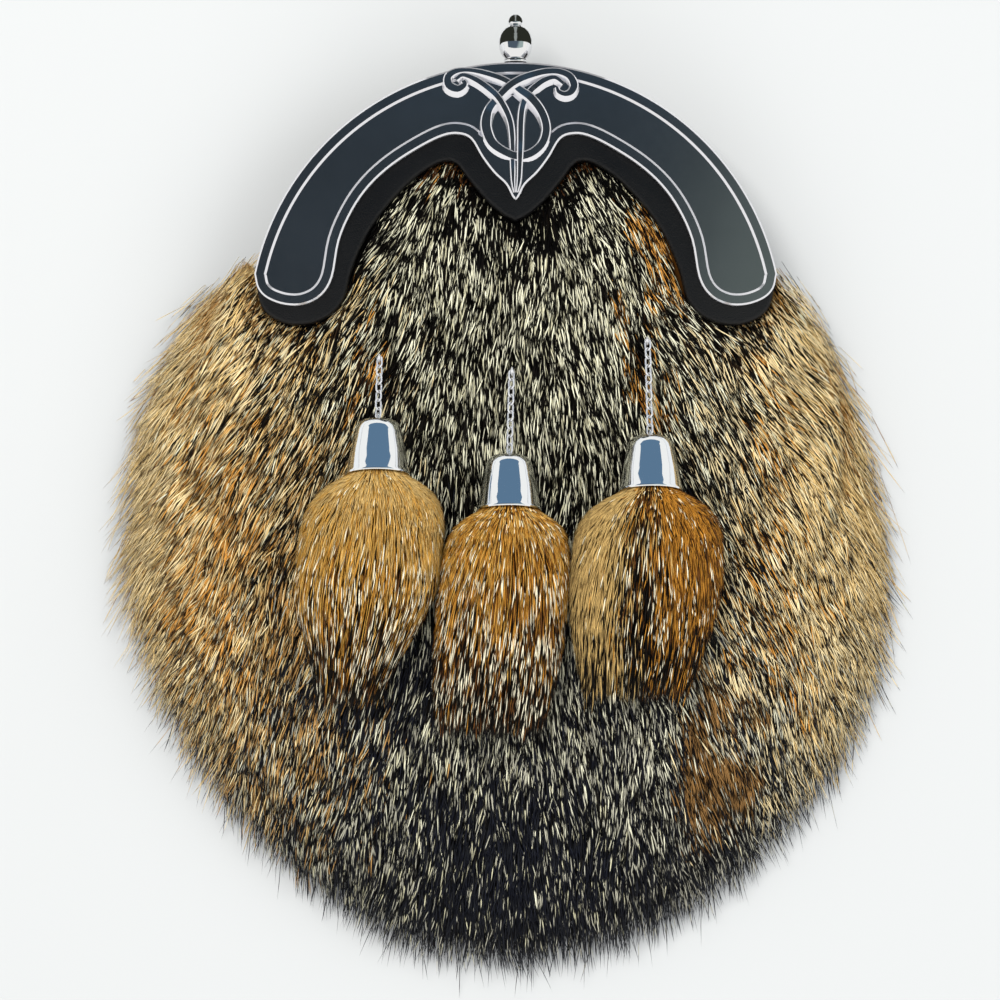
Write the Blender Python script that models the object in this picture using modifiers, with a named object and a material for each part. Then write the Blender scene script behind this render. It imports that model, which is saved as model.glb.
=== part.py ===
"""Full-dress sporran pouch, lying on its back: face up, finial towards +Y.

Metres, +Z up. The origin is on the flat back of the pouch, where it rests. The leather pouch is
hollow, with a hand slot in its back. A fur pelt covers the front and hangs over the sides, a cast
cantle crowns it, and three fur tassels in bell cones hang from fine chains.
"""

import math
import random
from collections import namedtuple

import bmesh
import bpy
from mathutils import Matrix, Vector

# Gaps, walls and levels
GAP = 0.0003
BACK_THICKNESS = 0.0022
GUSSET_THICKNESS = 0.0020
FRONT_THICKNESS = 0.0022
FRONT_BOTTOM = 0.0178
FRONT_CROWN = 0.0030
HIDE_THICKNESS = 0.0020
LOOP_THICKNESS = 0.0018
LOOP_WIDTH = 0.022
LOOP_HEIGHT = 0.034
LOOP_CORNER = 0.004
LOOP_CORNER_STEPS = 3
LOOP_X = 0.045
LOOP_Y = 0.081
LOOP_STEP_START = 0.050
LOOP_STEP_END = 0.060

# Hand slot in the back panel
SLOT_WIDTH = 0.104
SLOT_HEIGHT = 0.018
SLOT_Y = 0.037
SLOT_CUT = 0.010
SLOT_END_STEPS = 6

# Cantle
ARC_CENTRE_Y = 0.0455
ARC_RADIUS = 0.0770
ARC_END_DEG = 12
ARC_STEPS = 15
BACKING_THICKNESS = 0.0030
BACKING_EDGE = 0.0006
PLATE_THICKNESS = 0.0024
PLATE_CHAMFER = 0.0004
RIM_WIDTH = 0.0028
FIELD_DEPTH = 0.0006
FIELD_SLOPE = 0.0003
RING_CENTRE = (0.0, 0.1043)
RING_SINK_RADIUS = 0.0090
RING_SINK_DEPTH = 0.0009
RING_SINK_SIDES = 18
FIELD_MIDDLE = (0.0085, 0.1040)
FIELD_SKIPPED_POINTS = 5
FINIAL_DROP = 0.0002
BAND_RISE = 0.0006
BAND_CROSSING = 0.0004
BAND_SLOPE = 0.0006

# Pelt
FUR_CENTRE = Vector((0.0, -0.015))
HAIR_SOURCE = Vector((0.0, 0.140))
FUR_EDGE_HEIGHT = 0.0045
FUR_CROWN_HEIGHT = 0.0305
FUR_FLOOR = 0.0010
FUR_SEGMENTS = 28
FRINGE_LOCKS = 21
FRINGE_START_DEG = 8
FRINGE_LENGTH = 0.036
FRINGE_WIDTH = 0.022
FRINGE_SPLAY = 0.7
LOCK_LIFT = 0.0011
LOCK_ROUND = 0.45
LOCK_SUNK = 0.0006
LOCK_KEEL = 0.0010
FUR_ROUNDNESS = 5
FUR_EDGE_POWER = 0.9
HIDE_REACH = 0.92
HIDE_INSET = 0.0030
PELT_SHARES = (0.82, 0.68, 0.5, 0.26, 0.03)
STAPLE_HOLE_RADIUS = 0.0013
CANTLE_SPAN_DEG = (46, 134)
SKIRT_LEAST = 0.0025
CANTLE_FUR_RISE = 0.0006
CANTLE_FUR_RAMP = 0.026

# Tassels
CONE_HEIGHT = 0.0155
CONE_TILT_DEG = 11
CONE_EYE_RADIUS = 0.0011
EYE_WIRE = 0.0003
STAPLE_RISE = 0.0030
STAPLE_RADIUS = 0.0008
STAPLE_SIDES = 8
LINK_LENGTH = 0.0037
LINK_WIDTH = 0.0023
LINK_WIRE = 0.0003
LINK_SIDES = 10
WIRE_SIDES = 5
RING_RADIUS = 0.0013
LINK_TOUCH = 0.0003
TASSEL_SPREAD = 0.012
TASSEL_SIDES = 10
TASSEL_FADE = 0.020
TASSEL_SWEEP = 10.0
TASSEL_END = 0.0565
TASSEL_LOCK_TURN = 0.36
TASSEL_LOCK_SUNK = 0.0006
TASSEL_LOCK_KEEL = 0.0035
TURN_STEPS = 12

Point = namedtuple("Point", "x y")
BandPoint = namedtuple("BandPoint", "x y width level")
Reach = namedtuple("Reach", "angle reach")
Ring = namedtuple("Ring", "radius height")
Bulge = namedtuple("Bulge", "along half_width half_depth")
Tassel = namedtuple("Tassel", "side x mouth_y mouth_z staple_x staple_y lean stretch width")
LockRow = namedtuple("LockRow", "distance count spread length width")
TasselRow = namedtuple("TasselRow", "start length count")
LockSection = namedtuple("LockSection", "along share rise")
CrownRing = namedtuple("CrownRing", "share bulge")

# Half outlines, from the end of the top arc round the lobe to the tip on the middle line
CANTLE_HALF = [
    Point(0.0743, 0.0573),
    Point(0.0715, 0.0544),
    Point(0.0664, 0.0526),
    Point(0.0610, 0.0527),
    Point(0.0560, 0.0553),
    Point(0.0528, 0.0606),
    Point(0.0508, 0.0712),
    Point(0.0470, 0.0799),
    Point(0.0420, 0.0870),
    Point(0.0354, 0.0930),
    Point(0.0273, 0.0982),
    Point(0.0208, 0.1013),
    Point(0.0163, 0.1018),
    Point(0.0128, 0.1003),
    Point(0.0097, 0.0952),
    Point(0.0063, 0.0907),
    Point(0.0028, 0.0873),
    Point(0.0010, 0.0839),
    Point(0.0, 0.0828),
]
BACKING_HALF = [
    Point(0.0751, 0.0590),
    Point(0.0736, 0.0524),
    Point(0.0700, 0.0488),
    Point(0.0645, 0.0470),
    Point(0.0580, 0.0476),
    Point(0.0528, 0.0505),
    Point(0.0494, 0.0552),
    Point(0.0473, 0.0631),
    Point(0.0432, 0.0726),
    Point(0.0378, 0.0806),
    Point(0.0314, 0.0876),
    Point(0.0261, 0.0918),
    Point(0.0210, 0.0943),
    Point(0.0172, 0.0937),
    Point(0.0138, 0.0895),
    Point(0.0086, 0.0832),
    Point(0.0038, 0.0790),
    Point(0.0, 0.0770),
]
POUCH_HALF = [
    Point(0.0, 0.1190),
    Point(0.0290, 0.1130),
    Point(0.0540, 0.0965),
    Point(0.0690, 0.0710),
    Point(0.0755, 0.0400),
    Point(0.0830, 0.0050),
    Point(0.0815, -0.0300),
    Point(0.0665, -0.0610),
    Point(0.0390, -0.0810),
    Point(0.0, -0.0880),
]

# How the front panel bulges, from its middle to its edge
FRONT_RINGS = [
    CrownRing(0.2, 1.0),
    CrownRing(0.65, 0.25),
    CrownRing(1.0, 0.0),
]

# How far the fur reaches from FUR_CENTRE, by angle from +X
FUR_REACH = [
    Reach(0, 0.1115),
    Reach(15, 0.1090),
    Reach(30, 0.1100),
    Reach(45, 0.1075),
    Reach(135, 0.1125),
    Reach(150, 0.1185),
    Reach(165, 0.1185),
    Reach(180, 0.1185),
    Reach(195, 0.1200),
    Reach(210, 0.1195),
    Reach(225, 0.1200),
    Reach(240, 0.1200),
    Reach(255, 0.1260),
    Reach(270, 0.1270),
    Reach(285, 0.1250),
    Reach(300, 0.1240),
    Reach(315, 0.1200),
    Reach(330, 0.1200),
    Reach(345, 0.1165),
    Reach(360, 0.1115),
]

# Rows of locks on the fur's face: distance from HAIR_SOURCE, how many, and how far they fan out
LOCK_ROWS = [
    LockRow(0.074, 3, 30, 0.040, 0.022),
    LockRow(0.106, 4, 48, 0.044, 0.028),
    LockRow(0.138, 4, 38, 0.048, 0.034),
    LockRow(0.168, 4, 31, 0.050, 0.034),
    LockRow(0.196, 3, 20, 0.050, 0.034),
]

# A lock's sections: how far along, its share of the width, and how far its ridge lifts
LOCK_SECTIONS = [
    LockSection(0.0, 0.5, -0.0012),
    LockSection(0.38, 1.0, 0.0007),
    LockSection(0.72, 0.72, 0.0011),
]

# Raised bands of the knot. Level is 1 over a crossing, -1 under it and 0 between.
LEFT_SCROLL = [
    BandPoint(-0.0151, 0.1171, 0.0016, 0),
    BandPoint(-0.0147, 0.1159, 0.0019, 0),
    BandPoint(-0.0167, 0.1147, 0.0024, 0),
    BandPoint(-0.0192, 0.1158, 0.0027, 0),
    BandPoint(-0.0194, 0.1183, 0.0024, 0),
    BandPoint(-0.0171, 0.1198, 0.0019, 0),
    BandPoint(-0.0138, 0.1201, 0.0016, 0),
    BandPoint(-0.0098, 0.1195, 0.0018, 0),
    BandPoint(-0.0048, 0.1180, 0.0019, 0),
    BandPoint(-0.0019, 0.1167, 0.0019, -1),
    BandPoint(0.0002, 0.1155, 0.0019, -1),
]
RING_BAND = [
    BandPoint(-0.0002, 0.1157, 0.0022, -1),
    BandPoint(0.0016, 0.1142, 0.0024, 0),
    BandPoint(0.0044, 0.1121, 0.0026, 1),
    BandPoint(0.0071, 0.1088, 0.0026, 0),
    BandPoint(0.0086, 0.1051, 0.0026, 0),
    BandPoint(0.0073, 0.0985, 0.0026, 0),
    BandPoint(0.0041, 0.0960, 0.0026, 0),
    BandPoint(0.0003, 0.0954, 0.0026, -1),
    BandPoint(-0.0035, 0.0968, 0.0026, 0),
    BandPoint(-0.0067, 0.0992, 0.0029, 0),
    BandPoint(-0.0085, 0.1058, 0.0031, 0),
    BandPoint(-0.0077, 0.1088, 0.0026, 0),
    BandPoint(-0.0060, 0.1112, 0.0023, -1),
    BandPoint(-0.0044, 0.1130, 0.0020, -1),
]
RIGHT_SCROLL = [
    BandPoint(-0.0048, 0.1127, 0.0022, -1),
    BandPoint(-0.0029, 0.1146, 0.0023, 0),
    BandPoint(-0.0009, 0.1162, 0.0023, 1),
    BandPoint(0.0018, 0.1177, 0.0023, 1),
    BandPoint(0.0051, 0.1189, 0.0022, 0),
    BandPoint(0.0124, 0.1197, 0.0021, 0),
    BandPoint(0.0155, 0.1184, 0.0023, 0),
    BandPoint(0.0168, 0.1159, 0.0026, 0),
    BandPoint(0.0160, 0.1139, 0.0023, 0),
    BandPoint(0.0142, 0.1132, 0.0018, 0),
    BandPoint(0.0124, 0.1139, 0.0016, 0),
    BandPoint(0.0119, 0.1152, 0.0013, 0),
]
LEFT_STEM = [
    BandPoint(-0.0172, 0.1175, 0.0014, 0),
    BandPoint(-0.0151, 0.1187, 0.0016, 0),
    BandPoint(-0.0115, 0.1174, 0.0019, 0),
    BandPoint(-0.0081, 0.1151, 0.0020, 0),
    BandPoint(-0.0052, 0.1124, 0.0020, 1),
    BandPoint(-0.0029, 0.1088, 0.0020, 0),
    BandPoint(-0.0015, 0.1051, 0.0019, 0),
    BandPoint(-0.0010, 0.1012, 0.0018, 0),
    BandPoint(-0.0009, 0.0978, 0.0016, -1),
    BandPoint(-0.0007, 0.0879, 0.0012, 0),
    BandPoint(-0.0003, 0.0849, 0.0007, 0),
]
RIGHT_STEM = [
    BandPoint(0.0138, 0.1163, 0.0014, 0),
    BandPoint(0.0113, 0.1180, 0.0016, 0),
    BandPoint(0.0084, 0.1173, 0.0019, 0),
    BandPoint(0.0059, 0.1156, 0.0020, 0),
    BandPoint(0.0044, 0.1143, 0.0020, -1),
    BandPoint(0.0029, 0.1121, 0.0020, -1),
    BandPoint(0.0019, 0.1091, 0.0020, 0),
    BandPoint(0.0015, 0.1051, 0.0020, 0),
    BandPoint(0.0013, 0.0960, 0.0018, 1),
    BandPoint(0.0012, 0.0925, 0.0016, 0),
    BandPoint(0.0010, 0.0885, 0.0014, 0),
    BandPoint(0.0004, 0.0849, 0.0007, 0),
]
KNOT_BANDS = [LEFT_SCROLL, RING_BAND, RIGHT_SCROLL, LEFT_STEM, RIGHT_STEM]

# Turned profiles, top to bottom: the finial's height is measured up from its foot
FINIAL_PROFILE = [
    Ring(0.0, 0.0146),
    Ring(0.0012, 0.0143),
    Ring(0.0020, 0.0130),
    Ring(0.0017, 0.0116),
    Ring(0.0009, 0.0108),
    Ring(0.0010, 0.0104),
    Ring(0.0026, 0.0098),
    Ring(0.0042, 0.0082),
    Ring(0.0048, 0.0062),
    Ring(0.0045, 0.0042),
    Ring(0.0034, 0.0022),
    Ring(0.0023, 0.0013),
    Ring(0.0031, 0.0009),
    Ring(0.0031, 0.0),
    Ring(0.0, 0.0),
]
CONE_OUTSIDE = [
    Ring(0.0, 0.0155),
    Ring(0.0042, 0.0155),
    Ring(0.0058, 0.0149),
    Ring(0.0066, 0.0136),
    Ring(0.0084, 0.0030),
    Ring(0.0093, 0.0),
]
CONE_INSIDE = [
    Ring(0.0085, 0.0),
    Ring(0.0056, 0.0140),
    Ring(0.0, 0.0143),
]

# The tassels' fur core, from the cone down
TASSEL_CORE = [
    Bulge(-0.0080, 0.0063, 0.0063),
    Bulge(0.0, 0.0079, 0.0079),
    Bulge(0.0040, 0.0140, 0.0092),
    Bulge(0.0122, 0.0188, 0.0098),
    Bulge(0.0300, 0.0200, 0.0098),
    Bulge(0.0460, 0.0176, 0.0082),
    Bulge(0.0570, 0.0110, 0.0050),
]
TASSEL_LOCK_ROWS = [
    TasselRow(0.008, 0.034, 4),
    TasselRow(0.030, 0.036, 5),
]
TASSEL_LOCK_SECTIONS = [
    LockSection(0.0, 0.20, -0.0004),
    LockSection(0.45, 0.45, 0.0010),
    LockSection(0.78, 0.32, 0.0014),
]
TASSELS = [
    Tassel("left", -0.0390, 0.0036, 0.0414, -0.0391, 0.0370, -0.085, 1.03, 0.95),
    Tassel("middle", -0.0019, -0.0065, 0.0418, -0.0011, 0.0330, -0.058, 1.01, 0.85),
    Tassel("right", 0.0381, -0.0011, 0.0416, 0.0378, 0.0420, -0.045, 0.94, 0.99),
]


def clear_scene():
    for obj in list(bpy.data.objects):
        bpy.data.objects.remove(obj, do_unlink=True)


def new_collection(name, hidden=False):
    collection = bpy.data.collections.new(name)
    bpy.context.scene.collection.children.link(collection)
    collection.hide_render = hidden
    return collection


def new_material(name, colour, roughness, metallic=0.0):
    material = bpy.data.materials.new(name)
    material.use_nodes = True
    shader = material.node_tree.nodes["Principled BSDF"]
    shader.inputs["Base Color"].default_value = (*colour, 1.0)
    shader.inputs["Roughness"].default_value = roughness
    shader.inputs["Metallic"].default_value = metallic
    return material


def smoothstep(value):
    value = min(1.0, max(0.0, value))
    return value * value * (3 - 2 * value)


def smooth_line(points, steps):
    """A curve through every point, with steps pieces between each two."""
    points = [Vector(point) for point in points]
    ends = [2 * points[0] - points[1]] + points + [2 * points[-1] - points[-2]]
    line = []
    for before, start, end, after in zip(ends, ends[1:], ends[2:], ends[3:]):
        for step in range(steps):
            t = step / steps
            line.append(
                0.5
                * (
                    2 * start
                    + (end - before) * t
                    + (2 * before - 5 * start + 4 * end - after) * t**2
                    + (3 * start - before - 3 * end + after) * t**3
                )
            )
    return line + [points[-1]]


def mirrored(half):
    """A closed outline from its +X half, which starts and ends on the middle line."""
    return half + [Vector((-point.x, point.y)) for point in reversed(half[1:-1])]


def cantle_outline(half, radius, steps):
    """The cantle's round top with one of the lobe tables below it."""
    centre = Vector((0, ARC_CENTRE_Y))
    arc = []
    for step in range(ARC_STEPS):
        angle = math.radians(90 + (ARC_END_DEG - 90) * step / ARC_STEPS)
        arc.append(centre + radius * Vector((math.cos(angle), math.sin(angle))))
    end = math.radians(ARC_END_DEG)
    arc_end = centre + radius * Vector((math.cos(end), math.sin(end)))
    return mirrored(arc + smooth_line([arc_end] + half, steps))


def area(outline):
    pairs = zip(outline, outline[1:] + outline[:1])
    return sum(a.x * b.y - b.x * a.y for a, b in pairs) / 2


def inset(outline, distance):
    """The outline moved inwards by the distance, along its corners' normals."""
    side = 1 if area(outline) > 0 else -1
    moved = []
    for before, here, after in zip(outline[-1:] + outline, outline, outline[1:] + outline[:1]):
        along = (after - before).normalized()
        moved.append(here + side * distance * Vector((-along.y, along.x)))
    return moved


def distance_to(outline, point):
    """How far a point lies outside a closed outline, and 0 inside it."""
    inside = False
    nearest = math.inf
    for start, end in zip(outline, outline[1:] + outline[:1]):
        if (start.y > point.y) != (end.y > point.y):
            crossing = start.x + (point.y - start.y) / (end.y - start.y) * (end.x - start.x)
            inside ^= point.x < crossing
        edge = end - start
        share = min(1.0, max(0.0, (point - start).dot(edge) / edge.length_squared))
        nearest = min(nearest, (start + share * edge - point).length)
    return 0.0 if inside else nearest


def add_object(name, mesh, material, collection):
    obj = bpy.data.objects.new(name, mesh)
    collection.objects.link(obj)
    if material:
        mesh.materials.append(material)
    return obj


def loft(name, loops, material, collection, closed=False):
    """A solid skinned over loops of equal length, capped at both ends unless it closes on itself."""
    shape = bmesh.new()
    rows = [[shape.verts.new(point) for point in loop] for loop in loops]
    pairs = list(zip(rows, rows[1:]))
    if closed:
        pairs.append((rows[-1], rows[0]))
    for lower, upper in pairs:
        for index, corner in enumerate(lower):
            after = (index + 1) % len(lower)
            shape.faces.new((corner, lower[after], upper[after], upper[index]))
    if not closed:
        shape.faces.new(rows[0])
        shape.faces.new(rows[-1])
    bmesh.ops.recalc_face_normals(shape, faces=shape.faces)
    mesh = bpy.data.meshes.new(name)
    shape.to_mesh(mesh)
    shape.free()
    return add_object(name, mesh, material, collection)


def at_height(outline, height):
    return [Vector((point.x, point.y, height)) for point in outline]


def evaluated_mesh(obj):
    bpy.context.view_layer.update()
    graph = bpy.context.evaluated_depsgraph_get()
    return bpy.data.meshes.new_from_object(obj.evaluated_get(graph))


def combine(obj, tools, operation, self_crossing=False):
    """Joins the tools to the object or cuts them from it, as one closed mesh."""
    for tool in tools:
        modifier = obj.modifiers.new(operation.title(), "BOOLEAN")
        modifier.operation = operation
        modifier.solver = "EXACT"
        modifier.use_self = self_crossing
        modifier.object = tool
    mesh = evaluated_mesh(obj)
    obj.modifiers.clear()
    obj.data = mesh
    for tool in tools:
        bpy.data.objects.remove(tool, do_unlink=True)
    return obj


def keep_skin(obj):
    """Keeps the largest closed skin of a mesh, without the pockets that locks enclose."""
    shape = bmesh.new()
    shape.from_mesh(obj.data)
    left = set(shape.verts)
    skins = []
    while left:
        skin = set()
        waiting = [left.pop()]
        while waiting:
            corner = waiting.pop()
            skin.add(corner)
            near = [edge.other_vert(corner) for edge in corner.link_edges]
            fresh = [other for other in near if other in left]
            left.difference_update(fresh)
            waiting.extend(fresh)
        skins.append(skin)
    largest = max(skins, key=len)
    spare = [corner for skin in skins if skin is not largest for corner in skin]
    bmesh.ops.delete(shape, geom=spare, context="VERTS")
    shape.to_mesh(obj.data)
    shape.free()


def shade(obj, angle_deg):
    obj.data.shade_smooth()
    obj.data.set_sharp_from_angle(angle=math.radians(angle_deg))


def turned(name, profile, steps, matrix, material, collection):
    """A solid of revolution about its own Z, placed by the matrix."""
    mesh = bpy.data.meshes.new(name)
    corners = [(ring.radius, 0.0, ring.height) for ring in profile]
    mesh.from_pydata(corners, [(i, i + 1) for i in range(len(corners) - 1)], [])
    obj = add_object(name, mesh, material, collection)
    screw = obj.modifiers.new("Turn", "SCREW")
    screw.steps = steps
    screw.render_steps = steps
    screw.use_merge_vertices = True
    screw.merge_threshold = 0.00001
    obj.data = evaluated_mesh(obj)
    obj.modifiers.clear()
    obj.data.transform(matrix)
    return obj


def rod(radius, height):
    """The profile of a plain rod, for turning."""
    return [Ring(0.0, height), Ring(radius, height), Ring(radius, 0.0), Ring(0.0, 0.0)]


def torus(name, radius, wire, sides, matrix, collection, stretch=0.0):
    """A ring about its own Z. The stretch moves its two halves apart along X."""
    loops = []
    for step in range(sides):
        angle = 2 * math.pi * (step + 0.5) / sides
        out = Vector((math.cos(angle), math.sin(angle), 0))
        middle = radius * out + Vector((math.copysign(stretch / 2, out.x), 0, 0))
        loop = []
        for side in range(WIRE_SIDES):
            turn = 2 * math.pi * side / WIRE_SIDES
            loop.append(middle + wire * (math.cos(turn) * out + Vector((0, 0, math.sin(turn)))))
        loops.append(loop)
    obj = loft(name, loops, None, collection, closed=True)
    obj.data.transform(matrix)
    return obj


# Heights of the leather and the fur

POUCH_OUTLINE = mirrored(smooth_line(POUCH_HALF, 2))


def edge_distance(outline, angle):
    """How far a closed outline lies from the fur's centre, at an angle."""
    out = Vector((math.cos(angle), math.sin(angle)))
    best = 0.0
    for start, end in zip(outline, outline[1:] + outline[:1]):
        edge = end - start
        cross = out.cross(edge)
        if abs(cross) < 1e-9:
            continue
        offset = start - FUR_CENTRE
        share = offset.cross(out) / cross
        if -1e-6 <= share <= 1 + 1e-6:
            best = max(best, offset.cross(edge) / cross)
    return best


def crown(point):
    """How far the front panel bulges over a point, in straight steps between its rings."""
    offset = Vector(point).to_2d() - FUR_CENTRE
    share = offset.length / edge_distance(POUCH_OUTLINE, math.atan2(offset.y, offset.x))
    bulge = FRONT_RINGS[0].bulge
    for ring, after in zip(FRONT_RINGS, FRONT_RINGS[1:]):
        if share > ring.share:
            across = min(1.0, (share - ring.share) / (after.share - ring.share))
            bulge = ring.bulge + across * (after.bulge - ring.bulge)
    return FRONT_CROWN * bulge


FRONT_TOP = FRONT_BOTTOM + FRONT_THICKNESS
HIDE_BOTTOM = FRONT_TOP + GAP
HIDE_TOP = HIDE_BOTTOM + HIDE_THICKNESS
BACKING_BOTTOM = HIDE_TOP + GAP
PLATE_BOTTOM = BACKING_BOTTOM + BACKING_THICKNESS + GAP
PLATE_TOP = PLATE_BOTTOM + PLATE_THICKNESS
BACKING_OUTLINE = cantle_outline(BACKING_HALF, ARC_RADIUS, 1)


def fur_reach(angle_deg):
    """The fur's reach from its centre. Behind the cantle it stops just inside the round top."""
    angle_deg %= 360
    for row, after in zip(FUR_REACH, FUR_REACH[1:]):
        if row.angle <= angle_deg <= after.angle:
            share = smoothstep((angle_deg - row.angle) / (after.angle - row.angle))
            reach = row.reach + share * (after.reach - row.reach)
    if not CANTLE_SPAN_DEG[0] < angle_deg < CANTLE_SPAN_DEG[1]:
        return reach
    angle = math.radians(angle_deg)
    rise = ARC_CENTRE_Y - FUR_CENTRE.y
    radius = ARC_RADIUS - HIDE_INSET
    return rise * math.sin(angle) + math.sqrt(radius**2 - (rise * math.cos(angle)) ** 2)


def fur_height(point):
    """The height of the fur's body over a point, low beside the cantle and round the edge."""
    offset = point - FUR_CENTRE
    share = offset.length / fur_reach(math.degrees(math.atan2(offset.y, offset.x)))
    dome = FUR_EDGE_HEIGHT
    if share < 1:
        dome += (FUR_CROWN_HEIGHT - FUR_EDGE_HEIGHT) * (1 - share**FUR_ROUNDNESS) ** FUR_EDGE_POWER
    away = distance_to(BACKING_OUTLINE, point)
    if away == 0:
        return HIDE_TOP + CANTLE_FUR_RISE
    low = min(dome, HIDE_TOP + CANTLE_FUR_RISE)
    return low + (dome - low) * smoothstep(away / CANTLE_FUR_RAMP)


def fur_outline(share):
    points = []
    for step in range(FUR_SEGMENTS):
        angle = 360 * step / FUR_SEGMENTS
        out = Vector((math.cos(math.radians(angle)), math.sin(math.radians(angle))))
        points.append(FUR_CENTRE + share * fur_reach(angle) * out)
    return points


# The pouch


def rings_to_centre(outline, shares, height):
    """Loops that shrink to the fur's centre, at the height that the function gives."""
    loops = []
    for share in shares:
        ring = [FUR_CENTRE + share * (point - FUR_CENTRE) for point in outline]
        loops.append([Vector((point.x, point.y, height(point))) for point in ring])
    return loops


def ease_over_loops(obj):
    """Lifts what lies near the floor over the belt loops, with a fold at each end of the rise."""
    shape = bmesh.new()
    shape.from_mesh(obj.data)
    for fold in (LOOP_STEP_START, LOOP_STEP_END):
        everything = shape.verts[:] + shape.edges[:] + shape.faces[:]
        bmesh.ops.bisect_plane(shape, geom=everything, plane_co=(0, fold, 0), plane_no=(0, 1, 0))
    for corner in shape.verts:
        if corner.co.z < FRONT_BOTTOM / 2:
            rise = (corner.co.y - LOOP_STEP_START) / (LOOP_STEP_END - LOOP_STEP_START)
            corner.co.z += min(1.0, max(0.0, rise)) * (LOOP_THICKNESS + GAP)
    shape.to_mesh(obj.data)
    shape.free()


def make_back(leather, parts, cutters):
    outline = POUCH_OUTLINE
    loops = [at_height(outline, 0.0), at_height(outline, BACK_THICKNESS)]
    panel = loft("pouch_back", loops, leather, parts)
    corner = SLOT_HEIGHT / 2
    slot = []
    for side in (1, -1):
        for step in range(SLOT_END_STEPS + 1):
            angle = math.pi * (step / SLOT_END_STEPS - 0.5)
            slot.append(
                Vector((0, SLOT_Y))
                + side * Vector((SLOT_WIDTH / 2 - corner, 0))
                + side * corner * Vector((math.cos(angle), math.sin(angle)))
            )
    loops = [at_height(slot, -SLOT_CUT), at_height(slot, SLOT_CUT)]
    combine(panel, [loft("slot", loops, None, cutters)], "DIFFERENCE")
    ease_over_loops(panel)


def make_gusset(leather, parts):
    outer = POUCH_OUTLINE
    inner = inset(outer, GUSSET_THICKNESS)
    foot = BACK_THICKNESS + GAP
    top = FRONT_BOTTOM - GAP
    loops = [at_height(outer, foot), at_height(outer, top), at_height(inner, top)]
    loops.append(at_height(inner, foot))
    ease_over_loops(loft("pouch_gusset", loops, leather, parts, closed=True))


def make_front(leather, parts):
    outline = POUCH_OUTLINE
    shares = [ring.share for ring in FRONT_RINGS]
    under = rings_to_centre(outline, shares, lambda point: FRONT_BOTTOM + crown(point))
    over = rings_to_centre(outline, shares[::-1], lambda point: FRONT_TOP + crown(point))
    loft("pouch_front", under + over, leather, parts)


def make_belt_loops(leather, parts):
    for side, name in ((-1, "left"), (1, "right")):
        mesh = bpy.data.meshes.new(f"belt_loop_{name}")
        shape = bmesh.new()
        size = Matrix.Diagonal((LOOP_WIDTH, LOOP_HEIGHT, LOOP_THICKNESS, 1))
        place = Matrix.Translation((side * LOOP_X, LOOP_Y, LOOP_THICKNESS / 2))
        bmesh.ops.create_cube(shape, size=1, matrix=place @ size)
        upright = []
        for edge in shape.edges:
            low, high = sorted(corner.co.z for corner in edge.verts)
            if high - low > LOOP_THICKNESS / 2:
                upright.append(edge)
        bmesh.ops.bevel(
            shape,
            geom=upright,
            offset=LOOP_CORNER,
            segments=LOOP_CORNER_STEPS,
            profile=0.5,
            affect="EDGES",
        )
        shape.to_mesh(mesh)
        shape.free()
        add_object(f"belt_loop_{name}", mesh, leather, parts)


# The cantle


def make_backing(leather, parts):
    outline = BACKING_OUTLINE
    loops = [
        at_height(outline, BACKING_BOTTOM),
        at_height(outline, BACKING_BOTTOM + BACKING_THICKNESS - BACKING_EDGE),
        at_height(inset(outline, BACKING_EDGE), BACKING_BOTTOM + BACKING_THICKNESS),
    ]
    shade(loft("cantle_backing", loops, leather, parts), 30)


def field_half():
    """The sunk field's half outline below its arc: the cantle's lobe, then straight to the ring."""
    whole = cantle_outline(CANTLE_HALF, ARC_RADIUS, 1)
    moved = inset(whole, RIM_WIDTH)
    last = ARC_STEPS + len(CANTLE_HALF) - FIELD_SKIPPED_POINTS
    lobe = moved[ARC_STEPS + 1 : last]
    return lobe + [Vector(FIELD_MIDDLE), Vector((0.0, FIELD_MIDDLE[1]))]


def band(name, points, cutters):
    """A raised strip with sloping sides that follows the points over and under the others."""
    base = PLATE_TOP - 3 * FIELD_DEPTH
    loops = []
    for index, here in enumerate(points):
        before = points[max(index - 1, 0)]
        after = points[min(index + 1, len(points) - 1)]
        along = Vector((after.x - before.x, after.y - before.y)).normalized()
        across = Vector((-along.y, along.x, 0))
        top = PLATE_TOP + BAND_RISE + BAND_CROSSING * here.level
        middle = Vector((here.x, here.y, 0))
        half = here.width / 2
        foot = half + BAND_SLOPE
        loops.append(
            [
                middle - foot * across + Vector((0, 0, base)),
                middle + foot * across + Vector((0, 0, base)),
                middle + half * across + Vector((0, 0, top)),
                middle - half * across + Vector((0, 0, top)),
            ]
        )
    return loft(name, loops, None, cutters)


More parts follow.
